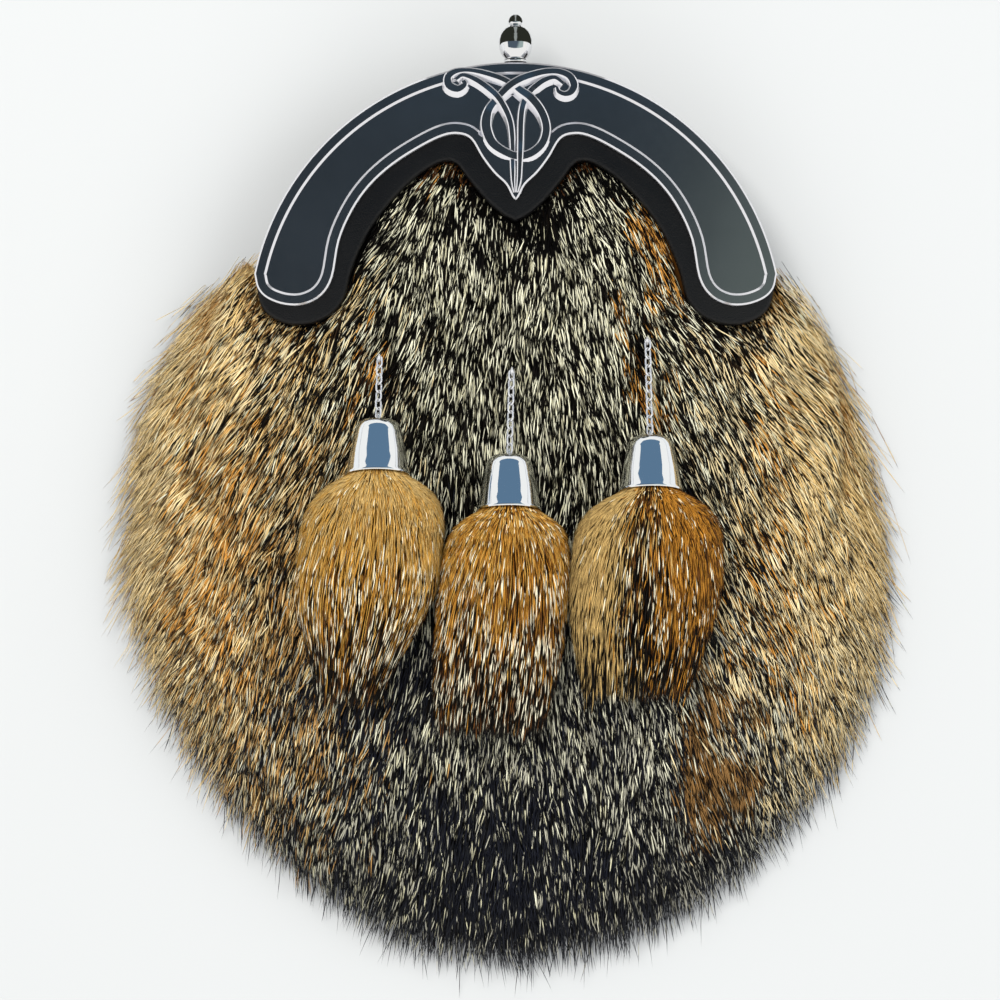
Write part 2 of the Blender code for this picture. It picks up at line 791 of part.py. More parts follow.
def make_plate(metal, parts, cutters):
    outline = cantle_outline(CANTLE_HALF, ARC_RADIUS, 1)
    loops = [
        at_height(outline, PLATE_BOTTOM),
        at_height(outline, PLATE_TOP - PLATE_CHAMFER),
        at_height(inset(outline, PLATE_CHAMFER), PLATE_TOP),
    ]
    plate = loft("cantle_plate", loops, metal, parts)
    field = cantle_outline(field_half(), ARC_RADIUS - RIM_WIDTH, 1)
    above = PLATE_TOP + 2 * FIELD_DEPTH
    loops = [
        at_height(inset(field, FIELD_SLOPE), PLATE_TOP - FIELD_DEPTH),
        at_height(inset(field, -2 * FIELD_SLOPE), above),
    ]
    sunk = loft("field", loops, None, cutters)
    ring = []
    for step in range(RING_SINK_SIDES):
        angle = 2 * math.pi * step / RING_SINK_SIDES
        out = Vector((math.cos(angle), math.sin(angle)))
        ring.append(Vector(RING_CENTRE) + RING_SINK_RADIUS * out)
    loops = [at_height(ring, PLATE_TOP - RING_SINK_DEPTH), at_height(ring, above)]
    combine(plate, [sunk, loft("ring_sink", loops, None, cutters)], "DIFFERENCE")
    bands = [band(f"band_{index}", points, cutters) for index, points in enumerate(KNOT_BANDS)]
    combine(plate, bands, "UNION", self_crossing=True)
    shade(plate, 30)


def make_finial(metal, parts):
    foot = Vector((0, ARC_CENTRE_Y + ARC_RADIUS + GAP, PLATE_BOTTOM - FINIAL_DROP))
    place = Matrix.Translation(foot) @ Matrix.Rotation(math.radians(-90), 4, "X")
    shade(turned("finial", FINIAL_PROFILE, TURN_STEPS, place, metal, parts), 40)


# The pelt


def tuft(name, loops, tip, collection):
    """A solid skinned over loops that runs out to a point."""
    shape = bmesh.new()
    rows = [[shape.verts.new(point) for point in loop] for loop in loops]
    end = shape.verts.new(tip)
    for lower, upper in zip(rows, rows[1:]):
        for index, corner in enumerate(lower):
            after = (index + 1) % len(lower)
            shape.faces.new((corner, lower[after], upper[after], upper[index]))
    for index, corner in enumerate(rows[-1]):
        shape.faces.new((corner, rows[-1][(index + 1) % len(rows[-1])], end))
    shape.faces.new(rows[0])
    bmesh.ops.recalc_face_normals(shape, faces=shape.faces)
    mesh = bpy.data.meshes.new(name)
    shape.to_mesh(mesh)
    shape.free()
    return add_object(name, mesh, None, collection)


def lock(name, root, direction, length, width, cutters):
    """A keeled tuft that lies along the fur, widens and runs out to a raised point."""
    across = Vector((-direction.y, direction.x))
    loops = []
    for section in LOCK_SECTIONS:
        middle = root + section.along * length * direction
        half = section.share * width / 2
        height = max(fur_height(middle), FUR_FLOOR + 3 * LOCK_KEEL)
        sides = [middle - half * across, middle + half * across]
        levels = [max(fur_height(side), height - LOCK_ROUND * half) - LOCK_SUNK for side in sides]
        keel = max(min(levels) - LOCK_KEEL, FUR_FLOOR + LOCK_SUNK / 2)
        levels = [max(level, keel + LOCK_SUNK / 2) for level in levels]
        ridge = max(height + section.rise, max(levels)) + LOCK_SUNK
        loops.append(
            [
                Vector((*sides[0], levels[0])),
                Vector((*middle, keel)),
                Vector((*sides[1], levels[1])),
                Vector((*middle, ridge)),
            ]
        )
    tip = root + length * direction
    top = max(fur_height(tip) + LOCK_LIFT / 2, FUR_FLOOR + LOCK_KEEL)
    return tuft(name, loops, (tip.x, tip.y, top), cutters)


def pelt_locks(cutters):
    """Rows of locks over the face, each on the last, and a fringe whose tips make the outline."""
    chance = random.Random(7)
    locks = []
    for row in LOCK_ROWS:
        for index in range(row.count):
            fan = (2 * (index + 0.5) / row.count - 1) * row.spread + chance.uniform(-1.5, 1.5)
            angle = math.radians(fan)
            direction = Vector((math.sin(angle), -math.cos(angle)))
            root = HAIR_SOURCE + (row.distance + chance.uniform(-0.004, 0.004)) * direction
            width = row.width * chance.uniform(0.9, 1.1)
            name = f"lock_{row.distance:.3f}_{index}"
            locks.append(lock(name, root, direction, row.length, width, cutters))
    first = CANTLE_SPAN_DEG[1] + FRINGE_START_DEG
    last = CANTLE_SPAN_DEG[0] + 360 - FRINGE_START_DEG
    for index in range(FRINGE_LOCKS):
        angle_deg = first + (last - first) * index / (FRINGE_LOCKS - 1)
        angle = math.radians(angle_deg)
        out = Vector((math.cos(angle), math.sin(angle)))
        tip = FUR_CENTRE + chance.uniform(0.99, 1.02) * fur_reach(angle_deg) * out
        direction = ((tip - HAIR_SOURCE).normalized() + FRINGE_SPLAY * out).normalized()
        length = FRINGE_LENGTH * chance.uniform(0.9, 1.1)
        root = tip - length * direction
        name = f"fringe_{index}"
        locks.append(lock(name, root, direction, length, FRINGE_WIDTH, cutters))
    return locks


def behind_cantle(angle_deg):
    return CANTLE_SPAN_DEG[0] < angle_deg % 360 < CANTLE_SPAN_DEG[1]


def pouch_room():
    """The space that the pelt leaves for the pouch. Behind the cantle the hide ends on top of it."""
    outline = []
    for point in POUCH_OUTLINE:
        offset = point - FUR_CENTRE
        angle_deg = math.degrees(math.atan2(offset.y, offset.x))
        reach = offset.length + 2 * GAP
        if behind_cantle(angle_deg):
            reach = fur_reach(angle_deg) + 2 * SKIRT_LEAST
        outline.append(FUR_CENTRE + reach * offset.normalized())
    shares = [ring.share for ring in FRONT_RINGS[-2::-1]]
    inner = rings_to_centre(POUCH_OUTLINE, shares, lambda point: HIDE_BOTTOM + crown(point))
    return [at_height(outline, -HIDE_BOTTOM), at_height(outline, HIDE_BOTTOM)] + inner


def make_pelt(fur, parts, cutters):
    rim = []
    for step in range(FUR_SEGMENTS):
        angle_deg = 360 * step / FUR_SEGMENTS
        angle = math.radians(angle_deg)
        reach = fur_reach(angle_deg)
        if not behind_cantle(angle_deg):
            reach = max(HIDE_REACH * reach, edge_distance(POUCH_OUTLINE, angle) + SKIRT_LEAST)
        rim.append(FUR_CENTRE + reach * Vector((math.cos(angle), math.sin(angle))))
    loops = [at_height(rim, FUR_FLOOR)]
    for ring in [rim] + [fur_outline(share) for share in PELT_SHARES]:
        loops.append([Vector((*point, fur_height(point))) for point in ring])
    pelt = loft("fur_pelt", loops, fur, parts)
    combine(pelt, pelt_locks(cutters), "UNION", self_crossing=True)
    clear = inset(BACKING_OUTLINE, -GAP)
    loops = [at_height(clear, HIDE_TOP), at_height(clear, 2 * FUR_CROWN_HEIGHT)]
    tools = [
        loft("pouch_room", pouch_room(), None, cutters),
        loft("cantle_room", loops, None, cutters),
    ]
    for tassel in TASSELS:
        place = Matrix.Translation((tassel.staple_x, tassel.staple_y, FRONT_BOTTOM))
        hole = rod(STAPLE_HOLE_RADIUS, FUR_CROWN_HEIGHT)
        tools.append(turned(f"hole_{tassel.side}", hole, STAPLE_SIDES, place, None, cutters))
    combine(pelt, tools, "DIFFERENCE")
    keep_skin(pelt)


# Tassels and chains


def cone_axis():
    """Down the cone towards its mouth, which is the raised end."""
    tilt = math.radians(CONE_TILT_DEG)
    return Vector((0, -math.cos(tilt), math.sin(tilt)))


def cone_place(tassel):
    """The cone's own Z runs up from its mouth to its top."""
    mouth = Vector((tassel.x, tassel.mouth_y, tassel.mouth_z))
    turn = (-cone_axis()).to_track_quat("Z", "Y").to_matrix().to_4x4()
    return Matrix.Translation(mouth) @ turn


def make_cone(tassel, metal, parts, cutters):
    name = f"tassel_cone_{tassel.side}"
    cone = turned(name, CONE_OUTSIDE + CONE_INSIDE, TURN_STEPS, cone_place(tassel), metal, parts)
    eye_centre = Matrix.Translation((0, 0, CONE_HEIGHT + CONE_EYE_RADIUS - EYE_WIRE / 2))
    upright = Matrix.Rotation(math.radians(90), 4, "Y")
    place = cone_place(tassel) @ eye_centre @ upright
    eye = torus(f"eye_{tassel.side}", CONE_EYE_RADIUS, EYE_WIRE, LINK_SIDES, place, cutters)
    combine(cone, [eye], "UNION")
    shade(cone, 35)


def eye_of_cone(tassel):
    return cone_place(tassel) @ Vector((0, 0, CONE_HEIGHT + CONE_EYE_RADIUS - EYE_WIRE / 2))


def staple_top(tassel):
    place = Vector((tassel.staple_x, tassel.staple_y))
    return Vector((place.x, place.y, fur_height(place) + STAPLE_RISE))


def make_staple(tassel, metal, parts, cutters):
    centre = staple_top(tassel)
    foot = FRONT_TOP + crown(centre) + GAP
    height = centre.z - CONE_EYE_RADIUS - foot + EYE_WIRE / 2
    profile = rod(STAPLE_RADIUS, height)
    place = Matrix.Translation((centre.x, centre.y, foot))
    name = f"chain_staple_{tassel.side}"
    post = turned(name, profile, STAPLE_SIDES, place, metal, parts)
    turn = Matrix.Translation(centre) @ Matrix.Rotation(math.radians(90), 4, "Y")
    eye = torus(f"staple_eye_{tassel.side}", CONE_EYE_RADIUS, EYE_WIRE, LINK_SIDES, turn, cutters)
    combine(post, [eye], "UNION")


def make_chain(tassel, metal, parts, cutters):
    """An odd number of oval links, each a quarter turn from the last, and a ring at each end."""
    name = f"tassel_chain_{tassel.side}"
    start = staple_top(tassel)
    end = eye_of_cone(tassel)
    reach = RING_RADIUS + CONE_EYE_RADIUS - 2 * EYE_WIRE - GAP
    along = (end - start).normalized()
    first = start + reach * along
    last = end - reach * along
    room = (last - first).length - 2 * RING_RADIUS + 2 * LINK_WIRE
    pitch = LINK_LENGTH - 4 * LINK_WIRE + LINK_TOUCH
    count = 2 * round((room / pitch - 1) / 2) + 1
    length = (room + 4 * count * LINK_WIRE - (count + 1) * LINK_TOUCH) / count
    spacing = length - 4 * LINK_WIRE + LINK_TOUCH
    ring_step = RING_RADIUS - 3 * LINK_WIRE + length / 2 + LINK_TOUCH
    frame = along.to_track_quat("X", "Z").to_matrix().to_4x4()

    def place(centre, roll):
        return Matrix.Translation(centre) @ frame @ Matrix.Rotation(math.radians(roll), 4, "X")

    head = torus(name, RING_RADIUS, LINK_WIRE, LINK_SIDES, place(first, 0), parts)
    head.data.materials.append(metal)
    bend = LINK_WIDTH / 2 - LINK_WIRE
    links = []
    for index in range(count):
        centre = first + (ring_step + index * spacing) * along
        roll = 90 if index % 2 == 0 else 0
        matrix = place(centre, roll)
        straight = length - LINK_WIDTH
        links.append(
            torus(f"{name}_{index}", bend, LINK_WIRE, LINK_SIDES, matrix, cutters, straight)
        )
    tail = torus(f"{name}_end", RING_RADIUS, LINK_WIRE, LINK_SIDES, place(last, 0), cutters)
    links.append(tail)
    combine(head, links, "UNION")


def tassel_point(tassel, along, across, up):
    """A point in the tassel's fur, in line with its cone, that leans and levels out as it falls."""
    mouth = Vector((tassel.x, tassel.mouth_y, tassel.mouth_z))
    far = max(0.0, along)
    fade = math.exp(-far / TASSEL_FADE)
    tilt = math.radians(CONE_TILT_DEG)
    x = across * (1 + (tassel.width - 1) * smoothstep(along / TASSEL_SPREAD))
    x += tassel.lean * far * (1 + TASSEL_SWEEP * far)
    y = up * math.sin(tilt) * fade - along * tassel.stretch
    return mouth + Vector((x, y, up + along * math.tan(tilt) * fade))


def tassel_surface(tassel, along, turn, extra):
    """A point beside the tassel's core, the extra out from its surface."""
    along = min(along, TASSEL_END)
    for row, after in zip(TASSEL_CORE, TASSEL_CORE[1:]):
        if row.along <= along <= after.along:
            share = (along - row.along) / (after.along - row.along)
            wide = row.half_width + share * (after.half_width - row.half_width) + extra
            deep = row.half_depth + share * (after.half_depth - row.half_depth) + extra
    return tassel_point(tassel, along, wide * math.cos(turn), deep * math.sin(turn))


def tassel_lock(tassel, name, angle, start, length, cutters):
    """A keeled tuft on the tassel's core that ends in a point."""
    loops = []
    for section in TASSEL_LOCK_SECTIONS:
        along = start + section.along * length
        loops.append(
            [
                tassel_surface(tassel, along, angle - section.share, -TASSEL_LOCK_SUNK),
                tassel_surface(tassel, along, angle, -TASSEL_LOCK_KEEL),
                tassel_surface(tassel, along, angle + section.share, -TASSEL_LOCK_SUNK),
                tassel_surface(tassel, along, angle, section.rise),
            ]
        )
    tip = tassel_surface(tassel, start + length, angle, -2 * TASSEL_LOCK_SUNK)
    tip.y -= max(0.0, start + length - TASSEL_END) * tassel.stretch
    return tuft(name, loops, tip, cutters)


def make_tassel_fur(tassel, fur, parts, cutters):
    chance = random.Random(tassel.side)
    loops = []
    for bulge in TASSEL_CORE:
        loop = []
        for side in range(TASSEL_SIDES):
            angle = 2 * math.pi * side / TASSEL_SIDES
            across = bulge.half_width * math.cos(angle)
            up = bulge.half_depth * math.sin(angle)
            loop.append(tassel_point(tassel, bulge.along, across, up))
        loops.append(loop)
    core = loft(f"tassel_fur_{tassel.side}", loops, fur, parts)
    locks = []
    for number, row in enumerate(TASSEL_LOCK_ROWS):
        for index in range(row.count):
            angle = 2 * math.pi * (index + 0.5 * number + TASSEL_LOCK_TURN) / row.count
            name = f"tassel_lock_{tassel.side}_{number}_{index}"
            length = row.length * chance.uniform(0.9, 1.05)
            locks.append(tassel_lock(tassel, name, angle, row.start, length, cutters))
    combine(core, locks, "UNION")


def main():
    clear_scene()
    parts = new_collection("sporran_pouch")
    cutters = new_collection("cutters", hidden=True)
    leather = new_material("black_leather", (0.012, 0.012, 0.013), 0.5)
    cantle_metal = new_material("dark_polished_metal", (0.16, 0.18, 0.20), 0.15, 1.0)
    chrome = new_material("chrome", (0.80, 0.81, 0.83), 0.06, 1.0)
    steel = new_material("steel", (0.62, 0.62, 0.64), 0.2, 1.0)
    fur = new_material("fox_fur", (0.23, 0.17, 0.10), 0.8)
    tassel_fur = new_material("golden_fur", (0.42, 0.24, 0.09), 0.8)
    make_back(leather, parts, cutters)
    make_gusset(leather, parts)
    make_front(leather, parts)
    make_belt_loops(leather, parts)
    make_pelt(fur, parts, cutters)
    make_backing(leather, parts)
    make_plate(cantle_metal, parts, cutters)
    make_finial(chrome, parts)
    for tassel in TASSELS:
        make_staple(tassel, steel, parts, cutters)
        make_chain(tassel, steel, parts, cutters)
        make_cone(tassel, chrome, parts, cutters)
        make_tassel_fur(tassel, tassel_fur, parts, cutters)


main()
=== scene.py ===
"""The looks of a full-dress sporran pouch that lies on its back.

Metres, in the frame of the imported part: +X right, +Y up the pouch to the finial, +Z out of its
face. The deep fur is made of closed tapered needles that lie in layers along the coat's flow.
"""

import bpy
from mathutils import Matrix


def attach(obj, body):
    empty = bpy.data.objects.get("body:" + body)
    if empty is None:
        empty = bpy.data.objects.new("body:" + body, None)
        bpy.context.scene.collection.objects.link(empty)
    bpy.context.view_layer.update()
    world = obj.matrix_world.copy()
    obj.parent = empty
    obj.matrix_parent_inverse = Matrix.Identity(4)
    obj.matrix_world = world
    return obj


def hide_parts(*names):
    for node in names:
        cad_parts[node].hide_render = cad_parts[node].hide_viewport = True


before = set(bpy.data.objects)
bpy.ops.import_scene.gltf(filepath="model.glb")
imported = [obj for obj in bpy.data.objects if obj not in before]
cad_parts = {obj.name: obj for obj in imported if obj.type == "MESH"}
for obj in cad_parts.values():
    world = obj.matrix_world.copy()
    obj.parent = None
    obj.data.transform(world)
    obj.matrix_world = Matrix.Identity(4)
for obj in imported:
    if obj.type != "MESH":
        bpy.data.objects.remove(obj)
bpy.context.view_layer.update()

import math
from collections import namedtuple

import bmesh
import bpy
import numpy as np
from mathutils import Matrix, Vector

bl_info = {
    "name": "Sporran pouch looks",
    "version": (1, 0, 0),
    "blender": (4, 5, 0),
    "location": "3D View > Sidebar > Sporran",
    "description": "Fur, leather, cantle, tassels and stage for the sporran pouch",
    "category": "Object",
}

# Levels and outlines that the solids share
HIDE_TOP = 0.0223
BACKING_BOTTOM = 0.0226
BACKING_THICKNESS = 0.0030
PLATE_BOTTOM = 0.0259
PLATE_TOP = 0.0283
RIM_WIDTH = 0.0028
ARC_CENTRE = (0.0, 0.0455)
ARC_RADIUS = 0.0770
ARC_END_DEG = 12
CANTLE_SPAN_DEG = (46, 134)
FUR_CENTRE = (0.0, -0.015)
CONE_TILT_DEG = 11

# The coat and its hair
PELT_FLOOR = 0.0204
HAIR_SOURCE = (0.0, 0.140)
FUR_EDGE_HEIGHT = 0.0045
FUR_CROWN_HEIGHT = 0.0305
FUR_ROUNDNESS = 5
FUR_EDGE_POWER = 0.9
LOW_FUR = 0.0006
CANTLE_FUR_RAMP = 0.026
CHAIN_PARTING = 0.0024
BODY_SHARE = 0.90
WIDEST = 0.78
TIPS_FROM = (-0.135, -0.160)
TIPS_TO = (0.135, 0.120)
TIPS_LIMIT = 1.075
FUZZ_TOP_LEFT = 0.0605
FUZZ_TOP_RIGHT = 0.056
GRID_STEP = 0.001
WAVE_COUNT = 6
COAT_SAMPLES = 6
GUARD_SEED = 11
UNDER_SEED = 12

# The cantle: steps of its outlines, its knot, and the field and disc that are sunk behind it
ARC_STEPS = 60
CURVE_STEPS = 4
BACKING_ROUND = 0.0012
BACKING_ROUND_STEPS = 4
CHAMFER_SLOPE = 0.85
KNOT_RISE = 0.0006
KNOT_CROSSING = 0.0004
KNOT_SUNK = 0.0012
BAND_EDGE = 0.0003
BAND_EDGE_DROP = 0.0002
BAND_SLOPE = 0.0016
WIDE_SLOPE = 0.0034
WIDE_SLOPE_BELOW = 0.1005
FIELD_MIDDLE = (0.0085, 0.1040)
FIELD_KEPT = (0.0088, 0.1100)
DISC_CENTRE = (0.0, 0.1043)
DISC_RADIUS = 0.0088
DISC_TOP_RADIUS = 0.0094
DISC_HEIGHT = 0.0020
FINIAL_GAP = 0.0003
FINIAL_DROP = 0.0002

# The chains, the cones and their eyes
LINK_PITCH = 0.0025
LINK_BEND = 0.00100
LINK_WIRE = 0.00030
LINK_STEPS = 14
CHAIN_END_POINTS = 20
CONE_HEIGHT = 0.0155
EYE_RADIUS = 0.0011
EYE_WIRE = 0.0003
EYE_SUNK = 0.00015

# The tassels
TASSEL_FADE = 0.020
TASSEL_SWEEP = 10.0
TASSEL_SPREAD = 0.012
TASSEL_REACH = 0.062
TASSEL_END = (0.056, 0.064)
TASSEL_END_SHARE = 0.16
TASSEL_SEED = 40
TASSEL_BODY_START = -0.006
TASSEL_BODY_LENGTH = 0.064
TASSEL_BODY_FILL = 0.86

# The stage
CAMERA_TARGET = (-0.0045, -0.0037, 0.028)
CAMERA_DISTANCE = 0.680
CAMERA_TILT_DEG = 0.3
CAMERA_LENS_MM = 85.0
FLOOR_DROP = 0.0001
DOME_RADIUS = 3.0
SHEET_LEFT = -0.3345
SHEET_WIDTH = 0.66
SHEET_HEIGHT = 0.25
SHEET_SEAM = 0.168
SHELL_PLACE = (0, 0.1305, 0.026)
SHELL_FLOOR = -0.020

Point = namedtuple("Point", "x y")
BandPoint = namedtuple("BandPoint", "x y width level")
Ring = namedtuple("Ring", "radius height")
Reach = namedtuple("Reach", "angle reach")
Coat = namedtuple("Coat", "name root shade band tip start end")
Patch = namedtuple("Patch", "x y rx ry coat weight")
Tassel = namedtuple("Tassel", "side x y z lean stretch width taper")
TasselCoat = namedtuple("TasselCoat", "along spread across width coat weight")
Bulge = namedtuple("Bulge", "along half_width half_depth")
Layer = namedtuple("Layer", "root middle tip")


def table(kind, *rows):
    """A table whose rows all have the columns of the kind."""
    return [kind(*row) for row in rows]


# Half outlines, from the end of the round top to the point on the middle line
CANTLE_HALF = table(
    Point,
    (0.0743, 0.0573), (0.0715, 0.0544), (0.0664, 0.0526), (0.0610, 0.0527), (0.0560, 0.0553),
    (0.0528, 0.0606), (0.0508, 0.0712), (0.0470, 0.0799), (0.0420, 0.0870), (0.0354, 0.0930),
    (0.0273, 0.0982), (0.0208, 0.1013), (0.0163, 0.1018), (0.0128, 0.1003), (0.0097, 0.0952),
    (0.0063, 0.0907), (0.0028, 0.0873), (0.0010, 0.0839), (0.0, 0.0828),
)
BACKING_HALF = table(
    Point,
    (0.0751, 0.0590), (0.0736, 0.0524), (0.0700, 0.0488), (0.0645, 0.0470), (0.0580, 0.0476),
    (0.0528, 0.0505), (0.0494, 0.0552), (0.0473, 0.0631), (0.0432, 0.0726), (0.0378, 0.0806),
    (0.0314, 0.0876), (0.0261, 0.0918), (0.0210, 0.0943), (0.0172, 0.0937), (0.0138, 0.0895),
    (0.0086, 0.0832), (0.0038, 0.0790), (0.0, 0.0770),
)

# How far the fur reaches from its centre, by angle from +X
FUR_REACH = table(
    Reach,
    (0, 0.1115), (15, 0.1090), (30, 0.1100), (45, 0.1075), (135, 0.1125), (150, 0.1185),
    (165, 0.1185), (180, 0.1185), (195, 0.1200), (210, 0.1195), (225, 0.1200), (240, 0.1225),
    (255, 0.1290), (270, 0.1295), (285, 0.1275), (300, 0.1250), (315, 0.1215), (330, 0.1200),
    (345, 0.1165), (360, 0.1115),
)

# Raised bands of the knot. Level is 1 over a crossing, -1 under it and 0 between.
LEFT_SCROLL = table(
    BandPoint,
    (-0.0151, 0.1171, 0.0016, 0), (-0.0147, 0.1159, 0.0019, 0), (-0.0167, 0.1147, 0.0024, 0),
    (-0.0192, 0.1158, 0.0027, 0), (-0.0194, 0.1183, 0.0024, 0), (-0.0171, 0.1198, 0.0019, 0),
    (-0.0138, 0.1201, 0.0016, 0), (-0.0098, 0.1195, 0.0018, 0), (-0.0048, 0.1180, 0.0019, 0),
    (-0.0019, 0.1167, 0.0019, -1), (0.0002, 0.1155, 0.0019, -1),
)
RING_BAND = table(
    BandPoint,
    (-0.0002, 0.1157, 0.0022, -1), (0.0016, 0.1142, 0.0024, 0), (0.0044, 0.1121, 0.0026, 1),
    (0.0071, 0.1088, 0.0026, 0), (0.0086, 0.1051, 0.0026, 0), (0.0087, 0.1018, 0.0026, 0),
    (0.0073, 0.0985, 0.0026, 0), (0.0041, 0.0960, 0.0026, 0), (0.0003, 0.0954, 0.0026, -1),
    (-0.0035, 0.0968, 0.0026, 0), (-0.0067, 0.0992, 0.0029, 0), (-0.0083, 0.1028, 0.0031, 0),
    (-0.0085, 0.1058, 0.0031, 0), (-0.0077, 0.1088, 0.0026, 0), (-0.0060, 0.1112, 0.0023, -1),
    (-0.0044, 0.1130, 0.0020, -1),
)
RIGHT_SCROLL = table(
    BandPoint,
    (-0.0048, 0.1127, 0.0022, -1), (-0.0029, 0.1146, 0.0023, 0), (-0.0009, 0.1162, 0.0023, 1),
    (0.0018, 0.1177, 0.0023, 1), (0.0051, 0.1189, 0.0022, 0), (0.0087, 0.1197, 0.0021, 0),
    (0.0124, 0.1197, 0.0021, 0), (0.0155, 0.1184, 0.0023, 0), (0.0168, 0.1159, 0.0026, 0),
    (0.0160, 0.1139, 0.0023, 0), (0.0142, 0.1132, 0.0018, 0), (0.0124, 0.1139, 0.0016, 0),
    (0.0119, 0.1152, 0.0013, 0),
)
LEFT_STEM = table(
    BandPoint,
    (-0.0172, 0.1175, 0.0014, 0), (-0.0151, 0.1187, 0.0016, 0), (-0.0115, 0.1174, 0.0019, 0),
    (-0.0081, 0.1151, 0.0020, 0), (-0.0052, 0.1124, 0.0020, 1), (-0.0029, 0.1088, 0.0020, 0),
    (-0.0015, 0.1051, 0.0019, 0), (-0.0010, 0.1012, 0.0018, 0), (-0.0009, 0.0978, 0.0016, -1),
    (-0.0009, 0.0945, 0.0016, -1), (-0.0008, 0.0910, 0.0015, 0), (-0.0007, 0.0879, 0.0012, 0),
    (-0.0003, 0.0849, 0.0007, 0),
)
RIGHT_STEM = table(
    BandPoint,
    (0.0138, 0.1163, 0.0014, 0), (0.0113, 0.1180, 0.0016, 0), (0.0084, 0.1173, 0.0019, 0),
    (0.0059, 0.1156, 0.0020, 0), (0.0044, 0.1143, 0.0020, -1), (0.0029, 0.1121, 0.0020, -1),
    (0.0019, 0.1091, 0.0020, 0), (0.0015, 0.1051, 0.0020, 0), (0.0014, 0.0998, 0.0019, 0),
    (0.0013, 0.0960, 0.0018, 1), (0.0012, 0.0925, 0.0016, 0), (0.0010, 0.0885, 0.0014, 0),
    (0.0004, 0.0849, 0.0007, 0),
)
KNOT_BANDS = [LEFT_SCROLL, RING_BAND, RIGHT_SCROLL, LEFT_STEM, RIGHT_STEM]

# Turned profiles, top to bottom
FINIAL_PROFILE = table(
    Ring,
    (0.0, 0.0139), (0.0007, 0.01385), (0.0014, 0.0134), (0.0019, 0.0127), (0.0021, 0.0119),
    (0.0019, 0.0111), (0.0015, 0.0107), (0.0016, 0.0105), (0.0024, 0.0102), (0.0033, 0.0096),
    (0.0040, 0.0087), (0.0045, 0.0077), (0.0048, 0.0064), (0.0048, 0.0052), (0.0046, 0.0040),
    (0.0043, 0.0029), (0.0037, 0.0019), (0.0031, 0.0013), (0.0029, 0.0010), (0.0033, 0.0008),
    (0.0034, 0.0004), (0.0032, 0.0), (0.0, 0.0),
)
CONE_PROFILE = table(
    Ring,
    (0.0, 0.0155), (0.0034, 0.0155), (0.0046, 0.0153), (0.0055, 0.0148), (0.0061, 0.0140),
    (0.0065, 0.0130), (0.0068, 0.0117), (0.0079, 0.0060), (0.0089, 0.0006), (0.0091, 0.0002),
    (0.00915, -0.0001), (0.0090, -0.0004), (0.0087, -0.0005), (0.0085, -0.0003), (0.0075, 0.0060),
    (0.0064, 0.0120), (0.0, 0.0142),
)

# Colours of the kinds of hair, from the root through its dark part and pale band to the tip, with
# where the band starts and ends along the hair
COATS = [
    Coat("grizzled", (26, 20, 14), (8, 7, 6), (228, 224, 196), (8, 7, 6), 0.66, 0.83),
    Coat("grizzled_fine", (22, 17, 12), (7, 6, 5), (198, 192, 160), (7, 6, 5), 0.71, 0.86),
    Coat("dark", (20, 16, 12), (6, 5, 5), (18, 15, 12), (6, 5, 5), 0.60, 0.85),
    Coat("gold", (180, 136, 72), (160, 114, 54), (216, 184, 124), (104, 72, 34), 0.50, 0.90),
    Coat("buff", (206, 170, 112), (190, 150, 92), (230, 206, 156), (150, 112, 66), 0.50, 0.92),
    Coat("orange", (178, 116, 44), (150, 90, 30), (200, 142, 66), (70, 42, 20), 0.50, 0.84),
    Coat("tan_grizzled", (140, 100, 52), (50, 36, 21), (226, 206, 160), (30, 22, 15), 0.60, 0.84),
    Coat("soot", (24, 22, 20), (11, 11, 12), (172, 168, 150), (15, 15, 19), 0.66, 0.80),
    Coat("soot_dark", (14, 14, 15), (8, 8, 10), (26, 27, 31), (26, 28, 38), 0.60, 0.80),
    Coat("rust", (96, 64, 32), (52, 33, 17), (132, 98, 56), (34, 23, 14), 0.55, 0.84),
    Coat("brown", (120, 80, 38), (70, 45, 22), (172, 132, 78), (34, 23, 14), 0.55, 0.84),
    Coat("pale_tan", (190, 154, 90), (180, 142, 80), (208, 174, 110), (182, 144, 86), 0.5, 0.92),
    Coat("tassel_gold", (188, 138, 58), (176, 122, 44), (204, 156, 74), (170, 116, 46), 0.5, 0.92),
    Coat("tassel_orange", (166, 108, 34), (144, 88, 24), (188, 130, 48), (128, 78, 26), 0.5, 0.88),
    Coat("tassel_guard", (70, 46, 22), (22, 16, 11), (240, 230, 200), (18, 14, 10), 0.62, 0.84),
    Coat("tassel_brown", (84, 52, 24), (52, 31, 14), (104, 66, 30), (28, 19, 11), 0.5, 0.85),
]
COAT_INDEX = {coat.name: index for index, coat in enumerate(COATS)}
VARIANTS = 12
COLUMNS = len(COATS) * VARIANTS

